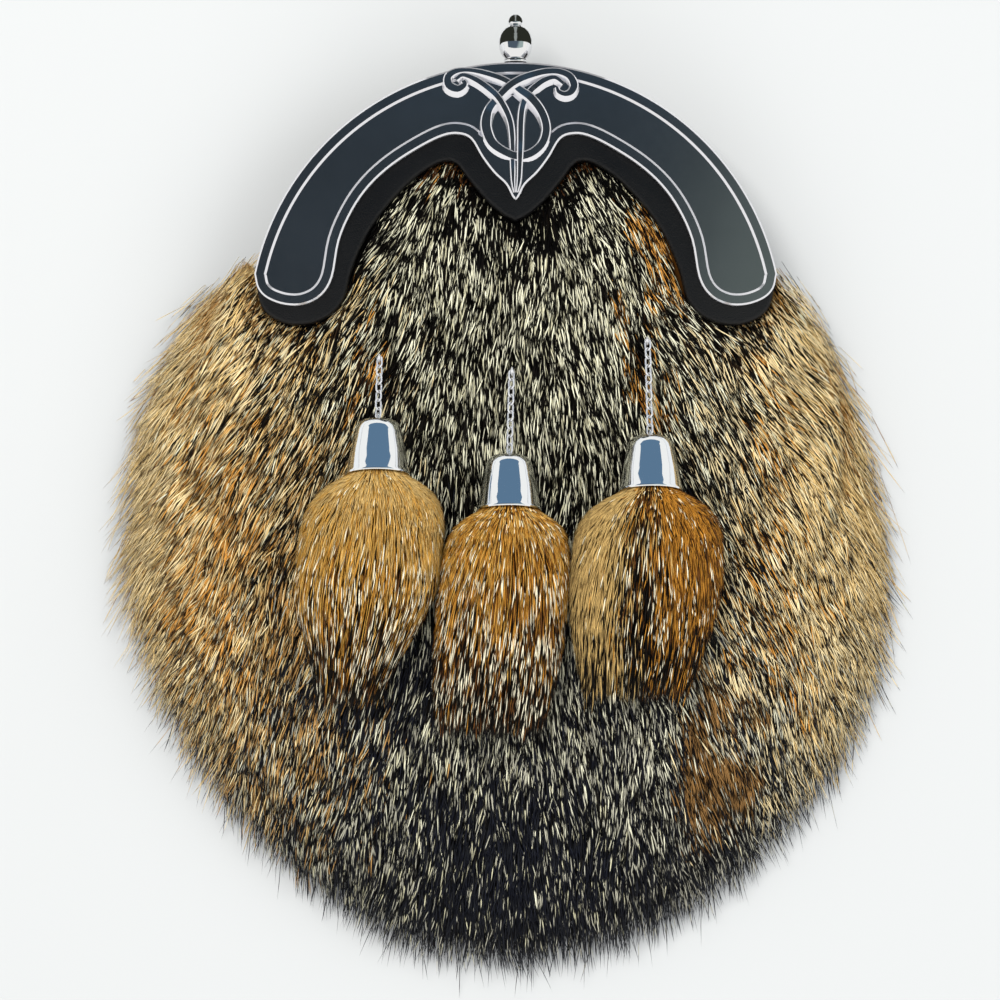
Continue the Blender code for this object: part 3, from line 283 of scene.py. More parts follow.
# Where each kind of hair grows on the pelt: middle, half sizes and weight of soft patches
COAT_PATCHES = [
    Patch(0.000, 0.045, 0.060, 0.080, "grizzled", 1.5),
    Patch(0.000, 0.045, 0.060, 0.080, "grizzled_fine", 1.1),
    Patch(0.000, 0.020, 0.060, 0.100, "dark", 1.9),
    Patch(-0.100, 0.030, 0.022, 0.036, "buff", 3.6),
    Patch(-0.106, -0.030, 0.018, 0.040, "buff", 2.0),
    Patch(-0.092, 0.000, 0.024, 0.066, "gold", 3.0),
    Patch(-0.089, -0.010, 0.012, 0.028, "orange", 3.2),
    Patch(-0.086, -0.038, 0.013, 0.022, "orange", 2.6),
    Patch(-0.070, 0.052, 0.014, 0.014, "gold", 1.6),
    Patch(-0.066, 0.010, 0.022, 0.040, "tan_grizzled", 2.6),
    Patch(-0.070, -0.035, 0.020, 0.036, "brown", 3.6),
    Patch(-0.060, 0.010, 0.024, 0.050, "dark", 2.0),
    Patch(-0.085, -0.066, 0.026, 0.024, "tan_grizzled", 2.6),
    Patch(-0.078, -0.075, 0.030, 0.030, "brown", 1.6),
    Patch(0.094, 0.040, 0.020, 0.022, "buff", 3.0),
    Patch(0.096, -0.010, 0.016, 0.056, "gold", 2.8),
    Patch(0.098, -0.030, 0.014, 0.040, "buff", 1.2),
    Patch(0.076, 0.000, 0.020, 0.060, "tan_grizzled", 2.6),
    Patch(0.080, 0.008, 0.009, 0.016, "orange", 1.3),
    Patch(0.079, -0.044, 0.010, 0.024, "orange", 1.9),
    Patch(0.072, 0.000, 0.020, 0.060, "dark", 1.4),
    Patch(0.082, -0.066, 0.022, 0.024, "tan_grizzled", 2.4),
    Patch(0.000, -0.085, 0.080, 0.036, "soot", 3.0),
    Patch(0.010, -0.070, 0.050, 0.026, "grizzled", 1.4),
    Patch(-0.020, -0.100, 0.040, 0.026, "grizzled_fine", 1.2),
    Patch(0.000, -0.100, 0.080, 0.050, "soot_dark", 2.3),
    Patch(-0.004, -0.112, 0.018, 0.016, "soot_dark", 12.0),
    Patch(-0.046, -0.066, 0.020, 0.014, "soot_dark", 6.0),
    Patch(0.058, -0.081, 0.006, 0.016, "rust", 26.0),
    Patch(-0.023, 0.092, 0.005, 0.005, "orange", 3.0),
    Patch(0.017, 0.091, 0.006, 0.005, "orange", 3.0),
    Patch(0.044, 0.066, 0.004, 0.013, "orange", 4.0),
    Patch(-0.0425, 0.030, 0.002, 0.011, "orange", 5.0),
    Patch(0.041, 0.022, 0.0025, 0.009, "orange", 5.0),
    Patch(0.033, 0.037, 0.002, 0.005, "orange", 4.0),
]

# How far each layer's hairs lie over the coat's surface, at root, middle and tip
GUARD_LAYER = Layer(-0.0034, 0.0002, 0.0013)
UNDER_LAYER = Layer(-0.0036, -0.0014, 0.0006)

TASSELS = [
    Tassel("left", -0.0390, 0.0036, 0.0414, -0.085, 1.03, 0.95, 0.42),
    Tassel("middle", -0.0019, -0.0065, 0.0418, -0.058, 1.01, 0.85, -0.08),
    Tassel("right", 0.0381, -0.0011, 0.0416, -0.045, 0.94, 0.99, 0.10),
]
TASSEL_SHAPE = table(
    Bulge,
    (-0.0080, 0.0060, 0.0060), (0.0, 0.0074, 0.0074), (0.0012, 0.0086, 0.0080),
    (0.0030, 0.0120, 0.0089), (0.0055, 0.0156, 0.0095), (0.0090, 0.0186, 0.0100),
    (0.0140, 0.0203, 0.0102), (0.0270, 0.0208, 0.0100), (0.0400, 0.0200, 0.0090),
    (0.0520, 0.0180, 0.0070), (0.0640, 0.0150, 0.0048), (0.0760, 0.0120, 0.0034),
)
# Where each kind of hair grows on a tassel: how far along, and across from -1 left to 1 right
TASSEL_COATS = {
    "left": [
        TasselCoat(0.002, 0.012, 0.0, 4.0, "pale_tan", 5.0),
        TasselCoat(0.018, 0.014, 0.8, 0.5, "pale_tan", 2.5),
        TasselCoat(0.020, 0.016, 0.0, 4.0, "tassel_gold", 3.6),
        TasselCoat(0.034, 0.014, 0.0, 1.2, "tassel_orange", 1.6),
        TasselCoat(0.030, 0.014, 0.0, 4.0, "tassel_guard", 0.7),
        TasselCoat(0.048, 0.014, 0.0, 4.0, "tassel_guard", 1.8),
        TasselCoat(0.050, 0.012, 0.0, 4.0, "tassel_brown", 2.0),
        TasselCoat(0.062, 0.012, 0.0, 4.0, "dark", 5.0),
    ],
    "middle": [
        TasselCoat(0.002, 0.006, 0.0, 4.0, "pale_tan", 1.0),
        TasselCoat(0.010, 0.016, 0.0, 4.0, "tassel_gold", 3.0),
        TasselCoat(0.020, 0.018, 0.0, 4.0, "tassel_orange", 3.2),
        TasselCoat(0.030, 0.016, 0.0, 4.0, "tassel_guard", 1.9),
        TasselCoat(0.050, 0.010, 0.0, 4.0, "tassel_guard", 2.8),
        TasselCoat(0.026, 0.020, 0.2, 0.6, "tassel_brown", 1.2),
        TasselCoat(0.054, 0.014, 0.0, 4.0, "tassel_brown", 2.4),
        TasselCoat(0.056, 0.012, 0.0, 4.0, "dark", 5.0),
    ],
    "right": [
        TasselCoat(0.010, 0.030, -0.7, 0.36, "pale_tan", 6.0),
        TasselCoat(0.040, 0.016, -0.7, 0.36, "pale_tan", 3.0),
        TasselCoat(0.034, 0.022, -0.10, 0.14, "dark", 9.0),
        TasselCoat(0.036, 0.018, -0.05, 0.18, "tassel_guard", 3.2),
        TasselCoat(0.016, 0.016, -0.12, 0.10, "tassel_brown", 7.0),
        TasselCoat(0.012, 0.022, 0.5, 0.45, "tassel_orange", 5.0),
        TasselCoat(0.036, 0.020, 0.5, 0.36, "tassel_orange", 3.0),
        TasselCoat(0.026, 0.018, 0.8, 0.30, "tassel_brown", 3.0),
        TasselCoat(0.036, 0.018, 0.4, 0.60, "tassel_guard", 1.3),
        TasselCoat(0.056, 0.012, 0.0, 4.0, "dark", 5.0),
    ],
}


# Settings shown in the sidebar


class FurSettings(bpy.types.PropertyGroup):
    guard_hairs: bpy.props.IntProperty(
        name="Guard hairs", description="Long banded hairs on the pelt", default=56400, min=3000
    )
    under_hairs: bpy.props.IntProperty(
        name="Under hairs", description="Short soft hairs beneath", default=16800, min=1000
    )
    guard_length: bpy.props.FloatProperty(
        name="Guard length", description="Length of a guard hair", default=0.027, unit="LENGTH"
    )
    guard_width: bpy.props.FloatProperty(
        name="Guard width", description="Width of a guard hair", default=0.00034, unit="LENGTH"
    )


class CantleSettings(bpy.types.PropertyGroup):
    chamfer: bpy.props.FloatProperty(
        name="Bright edge", description="Width of the bright edge", default=0.0005, unit="LENGTH"
    )
    field_depth: bpy.props.FloatProperty(
        name="Field depth", description="How far the field is sunk", default=0.0006, unit="LENGTH"
    )
    field_slope: bpy.props.FloatProperty(
        name="Field edge", description="Width of the field's slope", default=0.00065, unit="LENGTH"
    )
    flat_colour: bpy.props.FloatVectorProperty(
        name="Flat colour",
        description="Dark polished flats of the cantle",
        default=(0.30, 0.293, 0.287),
        size=3,
        subtype="COLOR",
    )
    # Painted highlight: the bright colour given to the cantle's slopes, in place of the light they
    # mirror.
    painted_highlight_colour: bpy.props.FloatVectorProperty(
        name="Edge colour",
        description="Bright worn slopes of the cantle",
        default=(0.74, 0.73, 0.76),
        size=3,
        subtype="COLOR",
    )


class TasselSettings(bpy.types.PropertyGroup):
    hairs: bpy.props.IntProperty(
        name="Hairs", description="Hairs on each tassel", default=6600, min=500
    )
    hair_width: bpy.props.FloatProperty(
        name="Hair width", description="Width of a tassel hair", default=0.00030, unit="LENGTH"
    )


class StageSettings(bpy.types.PropertyGroup):
    floor_colour: bpy.props.FloatVectorProperty(
        name="Floor colour",
        description="Pale floor under the pouch",
        default=(0.515, 0.52, 0.515),
        size=3,
        subtype="COLOR",
    )
    light: bpy.props.FloatProperty(
        name="Light", description="Strength of the soft lights", default=1.0, min=0.0
    )


# Helpers


def srgb(colour):
    """A colour given in 0 to 255 steps, as linear values."""
    return [
        step / 12.92 if step <= 0.04045 else ((step + 0.055) / 1.055) ** 2.4
        for step in (value / 255 for value in colour)
    ]


def new_object(name, data):
    """An object at the origin, in the scene."""
    obj = bpy.data.objects.new(name, data)
    bpy.context.scene.collection.objects.link(obj)
    return obj


def smoothstep(value):
    """0 to 1 with soft ends, for values from 0 to 1."""
    value = np.clip(value, 0.0, 1.0)
    return value * value * (3 - 2 * value)


def smooth_line(points, steps):
    """A curve through every point, with steps pieces between each two."""
    points = [Vector(point) for point in points]
    ends = [2 * points[0] - points[1]] + points + [2 * points[-1] - points[-2]]
    line = []
    for before, start, end, after in zip(ends, ends[1:], ends[2:], ends[3:]):
        for step in range(steps):
            t = step / steps
            ease = (2 * before - 5 * start + 4 * end - after) * t**2
            turn = (3 * start - before - 3 * end + after) * t**3
            line.append(0.5 * (2 * start + (end - before) * t + ease + turn))
    return line + [points[-1]]


def mirrored(half):
    """A closed outline from its +X half, which starts and ends on the middle line."""
    return half + [Vector((-point.x, point.y)) for point in reversed(half[1:-1])]


def cantle_outline(half, arc_steps=ARC_STEPS, steps=CURVE_STEPS):
    """The cantle's round top with one of the lobe tables below it."""
    centre = Vector(ARC_CENTRE)
    arc = []
    for step in range(arc_steps + 1):
        angle = math.radians(90 + (ARC_END_DEG - 90) * step / arc_steps)
        arc.append(centre + ARC_RADIUS * Vector((math.cos(angle), math.sin(angle))))
    return mirrored(arc[:-1] + smooth_line([arc[-1]] + half, steps))


def inset(outline, distance):
    """The outline moved inwards by the distance, along its corners' normals."""
    pairs = zip(outline, outline[1:] + outline[:1])
    side = 1 if sum(a.x * b.y - b.x * a.y for a, b in pairs) > 0 else -1
    moved = []
    for before, here, after in zip(outline[-1:] + outline, outline, outline[1:] + outline[:1]):
        along = (after - before).normalized()
        moved.append(here + side * distance * Vector((-along.y, along.x)))
    return moved


def waves(x, y, size, seed):
    """A soft irregular field from about -1 to 1, with swells of about the given size."""
    chance = np.random.default_rng(seed)
    total = np.zeros_like(x)
    for _ in range(WAVE_COUNT):
        angle = chance.uniform(0, 2 * math.pi)
        length = size * chance.uniform(0.7, 1.6)
        phase = chance.uniform(0, 2 * math.pi)
        run = (x * math.cos(angle) + y * math.sin(angle)) / length
        total += np.sin(2 * math.pi * run + phase + 1.3 * np.sin(2 * math.pi * y / size / 1.7))
    return total / 3.4


# The coat's form


def distance_grid():
    """Distances outside the leather band, in steps over a grid round the cantle. 0 is inside."""
    outline = cantle_outline(BACKING_HALF, 30, 2)
    ends = np.array([tuple(point) for point in outline])
    xs = np.arange(-0.130, 0.1305, GRID_STEP)
    ys = np.arange(0.010, 0.1505, GRID_STEP)
    gx, gy = np.meshgrid(xs, ys)
    nearest = np.full(gx.shape, np.inf)
    inside = np.zeros(gx.shape, bool)
    for (ax, ay), (bx, by) in zip(ends, np.roll(ends, -1, axis=0)):
        ex, ey = bx - ax, by - ay
        share = np.clip(((gx - ax) * ex + (gy - ay) * ey) / (ex * ex + ey * ey), 0, 1)
        nearest = np.minimum(nearest, np.hypot(ax + share * ex - gx, ay + share * ey - gy))
        if ay != by:
            crosses = (ay > gy) != (by > gy)
            inside ^= crosses & (gx < ax + (gy - ay) / ey * ex)
    nearest[inside] *= -1
    return xs, ys, nearest


GRID_X, GRID_Y, GRID = distance_grid()


def cantle_distance(x, y):
    """How far points lie outside the leather band, below 0 inside it."""
    col = np.clip((x - GRID_X[0]) / GRID_STEP, 0, len(GRID_X) - 1.001)
    row = np.clip((y - GRID_Y[0]) / GRID_STEP, 0, len(GRID_Y) - 1.001)
    c, r = col.astype(int), row.astype(int)
    u, v = col - c, row - r
    low = GRID[r, c] * (1 - u) + GRID[r, c + 1] * u
    high = GRID[r + 1, c] * (1 - u) + GRID[r + 1, c + 1] * u
    return low * (1 - v) + high * v


def fur_reach(angle_deg):
    """The fur's reach from its centre. Behind the cantle it stops just inside the round top."""
    angles, reaches = np.array(FUR_REACH).T
    reach = np.interp(angle_deg % 360, angles, reaches)
    rise = ARC_CENTRE[1] - FUR_CENTRE[1]
    turn = np.radians(angle_deg)
    radius = ARC_RADIUS - 0.003
    under = rise * np.sin(turn) + np.sqrt(np.maximum(radius**2 - (rise * np.cos(turn)) ** 2, 0))
    hidden = (angle_deg % 360 > CANTLE_SPAN_DEG[0]) & (angle_deg % 360 < CANTLE_SPAN_DEG[1])
    return np.where(hidden, under, reach)


def fur_share(x, y):
    """0 at the fur's centre and 1 where it ends."""
    dx, dy = x - FUR_CENTRE[0], y - FUR_CENTRE[1]
    return np.hypot(dx, dy) / fur_reach(np.degrees(np.arctan2(dy, dx)))


def pouch_reach(angles_deg):
    """How far the leather pouch reaches from the fur's centre at each angle."""
    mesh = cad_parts["pouch_gusset"].data
    points = np.array([corner.co for corner in mesh.vertices])[:, :2] - np.array(FUR_CENTRE)
    turns = np.degrees(np.arctan2(points[:, 1], points[:, 0]))
    far = np.hypot(points[:, 0], points[:, 1])
    apart = np.abs((turns[:, None] - turns[None, :] + 180) % 360 - 180)
    outer = far > 0.985 * np.where(apart < 14, far[None, :], 0).max(axis=1)
    order = np.argsort(turns[outer])
    return np.interp(angles_deg, turns[outer][order], far[outer][order], period=360)


def beyond_pouch(x, y):
    """How far each point lies outside the leather pouch, seen from above."""
    dx, dy = x - FUR_CENTRE[0], y - FUR_CENTRE[1]
    return np.hypot(dx, dy) - pouch_reach(np.degrees(np.arctan2(dy, dx)))


def fur_height(x, y):
    """The height of the coat's surface over points, low beside the cantle and at the edge."""
    fall = np.clip(1 - fur_share(x, y) ** FUR_ROUNDNESS, 0, 1) ** FUR_EDGE_POWER
    dome = FUR_EDGE_HEIGHT + (FUR_CROWN_HEIGHT - FUR_EDGE_HEIGHT) * fall
    over_pouch = 1 - smoothstep((beyond_pouch(x, y) + 0.001) / 0.010)
    dome = np.maximum(dome, (HIDE_TOP + LOW_FUR) * over_pouch)
    low = np.minimum(dome, HIDE_TOP + LOW_FUR)
    return low + (dome - low) * smoothstep(cantle_distance(x, y) / CANTLE_FUR_RAMP)


def pelt_coats(x, y, chance):
    """Picks a kind of hair for each point, by the weights of the patches there."""
    weights = np.full((len(x), len(COATS)), 1e-6)
    wobble_x = x + 0.006 * waves(x, y, 0.030, 21) + 0.002 * waves(x, y, 0.008, 22)
    wobble_y = y + 0.006 * waves(x, y, 0.030, 23)
    for patch in COAT_PATCHES:
        across = (wobble_x - patch.x) / patch.rx
        up = (wobble_y - patch.y) / patch.ry
        soft = np.exp(-0.5 * (across**2 + up**2) ** 1.5)
        weights[:, COAT_INDEX[patch.coat]] += patch.weight * soft
    return pick(weights, chance)


def pick(weights, chance):
    """One column for each row of weights, by chance."""
    steps = np.cumsum(weights, axis=1)
    aim = chance.uniform(0, 1, len(weights)) * steps[:, -1]
    return (aim[:, None] > steps).sum(axis=1)


def paint_coat(body, coats_at, shadow):
    """Gives a fur body the colours of the hair over it, as a colour at each point, darkened to
    seven tenths and by the shadow given to it.
    """
    mesh = body.data
    points = np.zeros(len(mesh.vertices) * 3)
    mesh.vertices.foreach_get("co", points)
    points = points.reshape(-1, 3)
    chance = np.random.default_rng(5)
    roots = np.array([srgb(coat.root) for coat in COATS])
    shades = np.array([srgb(coat.shade) for coat in COATS])
    total = np.zeros((len(points), 3))
    for _ in range(COAT_SAMPLES):
        coats = coats_at(points[:, 0], points[:, 1], chance)
        total += (0.4 * roots + 0.6 * shades)[coats] / COAT_SAMPLES
    # Darkened to seven tenths, and by the shadow given: on the pelt a painted shadow of the leather
    # band, on the tassels none.
    total *= 0.7 * shadow(points)[:, None]
    colours = np.concatenate((total, np.ones((len(points), 1))), axis=1)
    layer = mesh.color_attributes.new("coat", "FLOAT_COLOR", "POINT")
    layer.data.foreach_set("color", colours.reshape(-1).astype(np.float32))


# Needles of fur


def needles(name, roots, middles, tips, widths, coats, starts, tones, material):
    """One mesh of closed three-sided hairs that taper to their tips.

    Across the map runs the kind of hair and its tone, with the pelt's painted clump shade in the
    tone, and up it runs the hair's length."""
    count = len(roots)
    first = tips - roots
    first /= np.linalg.norm(first, axis=1)[:, None]
    up = np.array((0.0, 0.0, 1.0))
    side = np.cross(first, up)
    side /= np.maximum(np.linalg.norm(side, axis=1), 1e-9)[:, None]
    normal = np.cross(side, first)
    points = np.zeros((count, 7, 3))
    for ring, (centre, thick) in enumerate(((roots, 0.34), (middles, 0.60))):
        for corner in range(3):
            turn = math.radians(90 + 120 * corner)
            out = math.cos(turn) * side + 0.7 * math.sin(turn) * normal
            points[:, 3 * ring + corner] = centre + out * (thick * widths * 1.15)[:, None]
    points[:, 6] = tips
    points[:, :, 2] = np.maximum(points[:, :, 2], 0.0002)
    faces = [(0, 2, 1), (0, 1, 4, 3), (1, 2, 5, 4), (2, 0, 3, 5), (3, 4, 6), (4, 5, 6), (5, 3, 6)]
    corners = np.array([corner for face in faces for corner in face])
    lengths = np.array([len(face) for face in faces])
    offsets = np.concatenate(([0], np.cumsum(lengths)[:-1]))
    base = np.arange(count)
    mesh = bpy.data.meshes.new(name)
    mesh.vertices.add(7 * count)
    mesh.vertices.foreach_set("co", points.reshape(-1))
    mesh.loops.add(len(corners) * count)
    indices = (base[:, None] * 7 + corners[None, :]).reshape(-1)
    mesh.loops.foreach_set("vertex_index", indices.astype(np.int32))
    mesh.polygons.add(len(faces) * count)
    begins = (base[:, None] * len(corners) + offsets[None, :]).reshape(-1)
    mesh.polygons.foreach_set("loop_start", begins.astype(np.int32))
    mesh.update(calc_edges=True)
    column = coats * VARIANTS + np.clip(VARIANTS * tones, 0, VARIANTS - 1).astype(int) + 0.5
    sideways = np.array((0.0, -0.34, 0.34, 0.0, -0.34, 0.34, 0.0))
    along = np.array((0.0, 0.0, 0.0, WIDEST, WIDEST, WIDEST, 1.0))
    u = (column[:, None] + sideways[None, :]) / COLUMNS
    v = 0.01 + 0.98 * (starts[:, None] + (1 - starts[:, None]) * along[None, :])
    layer = mesh.uv_layers.new(name="OFBake")
    spots = np.stack((u[:, corners], v[:, corners]), axis=-1)
    layer.data.foreach_set("uv", spots.reshape(-1).astype(np.float32))
    mesh.shade_smooth()
    mesh.materials.append(material)
    return new_object(name, mesh)


def chain_distance(x, y):
    """How far each point is from the nearest chain, seen from above."""
    spots = np.stack((x, y), axis=-1)
    nearest = np.full(len(x), 1.0)
    for tassel in TASSELS:
        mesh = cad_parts[f"tassel_chain_{tassel.side}"].data
        links = np.array([corner.co[:2] for corner in mesh.vertices])
        links = links[links[:, 1].argsort()]
        ends = links[:CHAIN_END_POINTS], links[-CHAIN_END_POINTS:]
        low, high = (end.mean(axis=0) for end in ends)
        run = high - low
        share = np.clip((spots - low) @ run / (run @ run), 0, 1)
        apart = np.linalg.norm(spots - low - share[:, None] * run, axis=1)
        nearest = np.minimum(nearest, apart)
    return nearest


def rooted_under_cantle(tips, flow, lengths, limit):
    """Where along each hair it comes out from under the leather band or the coat's edge."""
    starts = np.zeros(len(tips))
    for share in np.linspace(0, 0.9, 31):
        x = tips[:, 0] - (1 - share) * lengths * flow[:, 0]
        y = tips[:, 1] - (1 - share) * lengths * flow[:, 1]
        outside = (fur_share(x, y) > limit) & (share < 0.6) & (tips[:, 1] > 0.02)
        covered = (cantle_distance(x, y) < -0.0004) | outside
        starts = np.where(covered, share + 0.03, starts)
    return np.minimum(starts, 0.93)


def pelt_hairs(name, count, length, width, layer, seed, material, parts):
    """Hairs whose tips are spread evenly over the coat, lying along its flow.

    The coat's edge is ragged. Above the cantle's ends no tip lies beyond the round top."""
    chance = np.random.default_rng(seed)
    tips = np.zeros((0, 2))
    while len(tips) < count:
        spots = chance.uniform(TIPS_FROM, TIPS_TO, (2 * count, 2))
        share = fur_share(spots[:, 0], spots[:, 1])
        limit = 1.0 + 0.022 * chance.standard_normal(len(spots))
        limit += 0.035 * np.maximum(0, chance.standard_normal(len(spots)) - 1.3)
        limit = np.minimum(limit, TIPS_LIMIT)
        keep = (share < limit) & (cantle_distance(spots[:, 0], spots[:, 1]) > 0.0004)
        round_top = np.hypot(spots[:, 0], spots[:, 1] - ARC_CENTRE[1]) > ARC_RADIUS - 0.004
        fuzzy_top = np.where(spots[:, 0] < 0, FUZZ_TOP_LEFT, FUZZ_TOP_RIGHT)
        fuzzy_top = fuzzy_top + 0.002 * chance.standard_normal(len(spots))
        keep &= ~(round_top & (spots[:, 1] > fuzzy_top))
        tips = np.concatenate((tips, spots[keep]))
    tips = tips[:count]

    # The flow runs away from the top, in soft waves, and each hair strays a little from it
    x, y = tips[:, 0], tips[:, 1]
    flow = tips - np.array(HAIR_SOURCE)
    turn = np.arctan2(flow[:, 1], flow[:, 0])
    turn += 0.13 * waves(x, y, 0.045, 1) + 0.10 * waves(x, y, 0.014, 2)
    turn += 0.13 * chance.standard_normal(count)
    flow = np.stack((np.cos(turn), np.sin(turn)), axis=1)
    lengths = length * chance.uniform(0.78, 1.18, count)
    limit = np.minimum(1.0 + 0.02 * chance.standard_normal(count), 1.03)
    starts = rooted_under_cantle(tips, flow, lengths, limit)

    # Roots, widest parts and tips, over the coat's surface and parted under the chains
    relief = 0.0007 * waves(x, y, 0.020, 3) + 0.0005 * waves(x, y, 0.007, 4)
    edge = smoothstep((fur_share(x, y) - 0.86) / 0.16)
    drop = edge * chance.uniform(0, 1, count) ** 1.5
    lines = []
    level = layer.tip * chance.uniform(0, 1, count)
    widest = starts + WIDEST * (1 - starts)
    parted = CHAIN_PARTING * (1 - smoothstep((chain_distance(x, y) - 0.001) / 0.003))
    for share, lift in ((starts, layer.root), (widest, layer.middle + level)):
        px = x - (1 - share) * lengths * flow[:, 0]
        py = y - (1 - share) * lengths * flow[:, 1]
        away = smoothstep(cantle_distance(px, py) / 0.004)
        height = fur_height(px, py) + lift * (0.3 + 0.7 * away) + relief * away
        height = height - share * parted
        height = np.maximum(height * (1 - 0.6 * drop * share), 0.0004)
        lines.append(np.stack((px, py, height), axis=1))
    top = fur_height(x, y) + relief + layer.middle + level + 0.0004 - parted
    top = np.maximum(top * (1 - 0.9 * drop), 0.0004)
    ends = np.stack((x, y, top), axis=1)

    # Kind, tone and width of each hair, and the pieces from left to right
    coats = pelt_coats(x, y, chance)
    # Painted shade and light: the tone swells in soft waves, darker in the gaps between clumps and
    # lighter on their ridges; the rest of it differs at random.
    tones = 0.52 + 0.13 * waves(x, y, 0.020, 31) + 0.10 * waves(x, y, 0.009, 32)
    tones += 0.16 * chance.standard_normal(count)
    thick = width * chance.uniform(0.75, 1.2, count) * (1 - 0.55 * edge)
    order = np.argsort(x, kind="stable")
    made = []
    for number, part in enumerate(np.array_split(order, parts)):
        label = f"{name}_{number + 1}" if parts > 1 else name
        made.append(
            needles(
                label,
                lines[0][part],
                lines[1][part],
                ends[part],
                thick[part],
                coats[part],
                starts[part],
                tones[part],
                material,
            )
        )
    return made


# Materials


def new_material(name):
    material = bpy.data.materials.new(name)
    material.use_nodes = True
    return material, material.node_tree.nodes, material.node_tree.links


def add(nodes, kind, **values):
    node = nodes.new(kind)
    for key, value in values.items():
        setattr(node, key, value)
    return node


def feed(tree, socket, source):
    """Links an output to a socket, or sets the socket to a number or a colour."""
    if isinstance(source, (int, float)):
        socket.default_value = source
    elif isinstance(source, (tuple, list)):
        socket.default_value = (*source, 1.0)
    else:
        tree.links.new(source, socket)


def maths(tree, operation, *values):
    """A Math node fed by outputs or numbers. Returns its output."""
    node = add(tree.nodes, "ShaderNodeMath", operation=operation)
    for socket, value in zip(node.inputs, values):
        feed(tree, socket, value)
    return node.outputs[0]


def mix(tree, factor, first, second):
    """A mix of two colours. Returns its output."""
    node = add(tree.nodes, "ShaderNodeMix", data_type="RGBA")
    for index, value in ((0, factor), (6, first), (7, second)):
        feed(tree, node.inputs[index], value)
    return node.outputs[2]


def smooth_range(tree, value, start, end):
    """0 at the start and 1 at the end, with soft ends."""
    node = add(tree.nodes, "ShaderNodeMapRange", interpolation_type="SMOOTHSTEP")
    for label, source in (("Value", value), ("From Min", start), ("From Max", end)):
        feed(tree, node.inputs[label], source)
    return node.outputs[0]


def own_place(tree):
    """The object's own coordinates, which are those of the frame."""
    return tree.nodes.new("ShaderNodeTexCoord").outputs["Object"]


def noise(tree, scale, place=None):
    """Soft noise over the surface."""
    node = tree.nodes.new("ShaderNodeTexNoise")
    tree.links.new(place or own_place(tree), node.inputs["Vector"])
    feed(tree, node.inputs["Scale"], scale)
    return node.outputs[0]


def new_group(name, source, results):
    """An empty node group with one number going in, and its results as name to socket type."""
    tree = bpy.data.node_groups.new(name, "ShaderNodeTree")
    tree.interface.new_socket(source, in_out="INPUT", socket_type="NodeSocketFloat")
    for label, kind in results.items():
        tree.interface.new_socket(label, in_out="OUTPUT", socket_type=kind)
    return tree, tree.nodes.new("NodeGroupInput"), tree.nodes.new("NodeGroupOutput")


def steps_ramp(tree, factor, colours):
    """A ramp of equal flat steps, one for each colour."""
    node = tree.nodes.new("ShaderNodeValToRGB")
    ramp = node.color_ramp
    ramp.interpolation = "CONSTANT"
    while len(ramp.elements) < len(colours):
        ramp.elements.new(1.0)
    for index, colour in enumerate(colours):
        ramp.elements[index].position = index / len(colours)
        ramp.elements[index].color = (*colour, 1.0)
    tree.links.new(factor, node.inputs[0])
    return node.outputs[0]


def coat_group():
    """The colour of a hair, from its place on the map of kinds and lengths."""
    tree, ins, outs = new_group("coat_colour", "Variation", {"Color": "NodeSocketColor"})
    where = add(tree.nodes, "ShaderNodeUVMap", uv_map="OFBake")
    split = tree.nodes.new("ShaderNodeSeparateXYZ")
    tree.links.new(where.outputs[0], split.inputs[0])
    column = maths(tree, "FLOOR", maths(tree, "MULTIPLY", split.outputs[0], float(COLUMNS)))
    kind = maths(tree, "FLOOR", maths(tree, "DIVIDE", maths(tree, "ADD", column, 0.5), VARIANTS))
    factor = maths(tree, "DIVIDE", maths(tree, "ADD", kind, 0.5), float(len(COATS)))
    chance = add(tree.nodes, "ShaderNodeTexWhiteNoise", noise_dimensions="1D")
    tree.links.new(column, chance.inputs["W"])
    parts = tree.nodes.new("ShaderNodeSeparateColor")
    tree.links.new(chance.outputs["Color"], parts.inputs[0])
    along = split.outputs[1]
    root, shade, band, tip = (
        steps_ramp(tree, factor, [srgb(getattr(coat, field)) for coat in COATS])
        for field in ("root", "shade", "band", "tip")
    )
    limits = tree.nodes.new("ShaderNodeSeparateColor")
    spans = steps_ramp(tree, factor, [(coat.start, coat.end, 0.0) for coat in COATS])
    tree.links.new(spans, limits.inputs[0])
    shift = maths(tree, "MULTIPLY_ADD", parts.outputs[0], 0.12, -0.06)
    start = maths(tree, "ADD", limits.outputs[0], shift)
    end = maths(tree, "ADD", limits.outputs[1], shift)

    def rise(begin, width):
        return smooth_range(tree, along, begin, maths(tree, "ADD", begin, width))

    darken = rise(maths(tree, "ADD", start, -0.42), 0.20)
    colour = mix(tree, darken, root, shade)
    colour = mix(tree, rise(start, 0.04), colour, band)
    colour = mix(tree, rise(end, 0.05), colour, tip)
    bright = tree.nodes.new("ShaderNodeHueSaturation")
    first = maths(tree, "MULTIPLY", kind, float(VARIANTS))
    tone = maths(tree, "DIVIDE", maths(tree, "SUBTRACT", column, first), VARIANTS - 1.0)
    swing = maths(tree, "SUBTRACT", tone, 0.5)
    value = maths(tree, "MULTIPLY_ADD", swing, ins.outputs[0], 1.0)
    tree.links.new(value, bright.inputs["Value"])
    tree.links.new(colour, bright.inputs["Color"])
    tree.links.new(bright.outputs[0], outs.inputs[0])
    return tree


def fur_material(name, roughness, variation):
    """Hair in the colours that its map names, lighter and darker by the variation."""
    material, nodes, links = new_material(name)
    shader = nodes["Principled BSDF"]
    group = nodes.new("ShaderNodeGroup")
    group.node_tree = bpy.data.node_groups.get("coat_colour") or coat_group()
    group.inputs["Variation"].default_value = variation
    links.new(group.outputs[0], shader.inputs["Base Color"])
    shader.inputs["Roughness"].default_value = roughness
    shader.inputs["Specular IOR Level"].default_value = 0.14
    return material


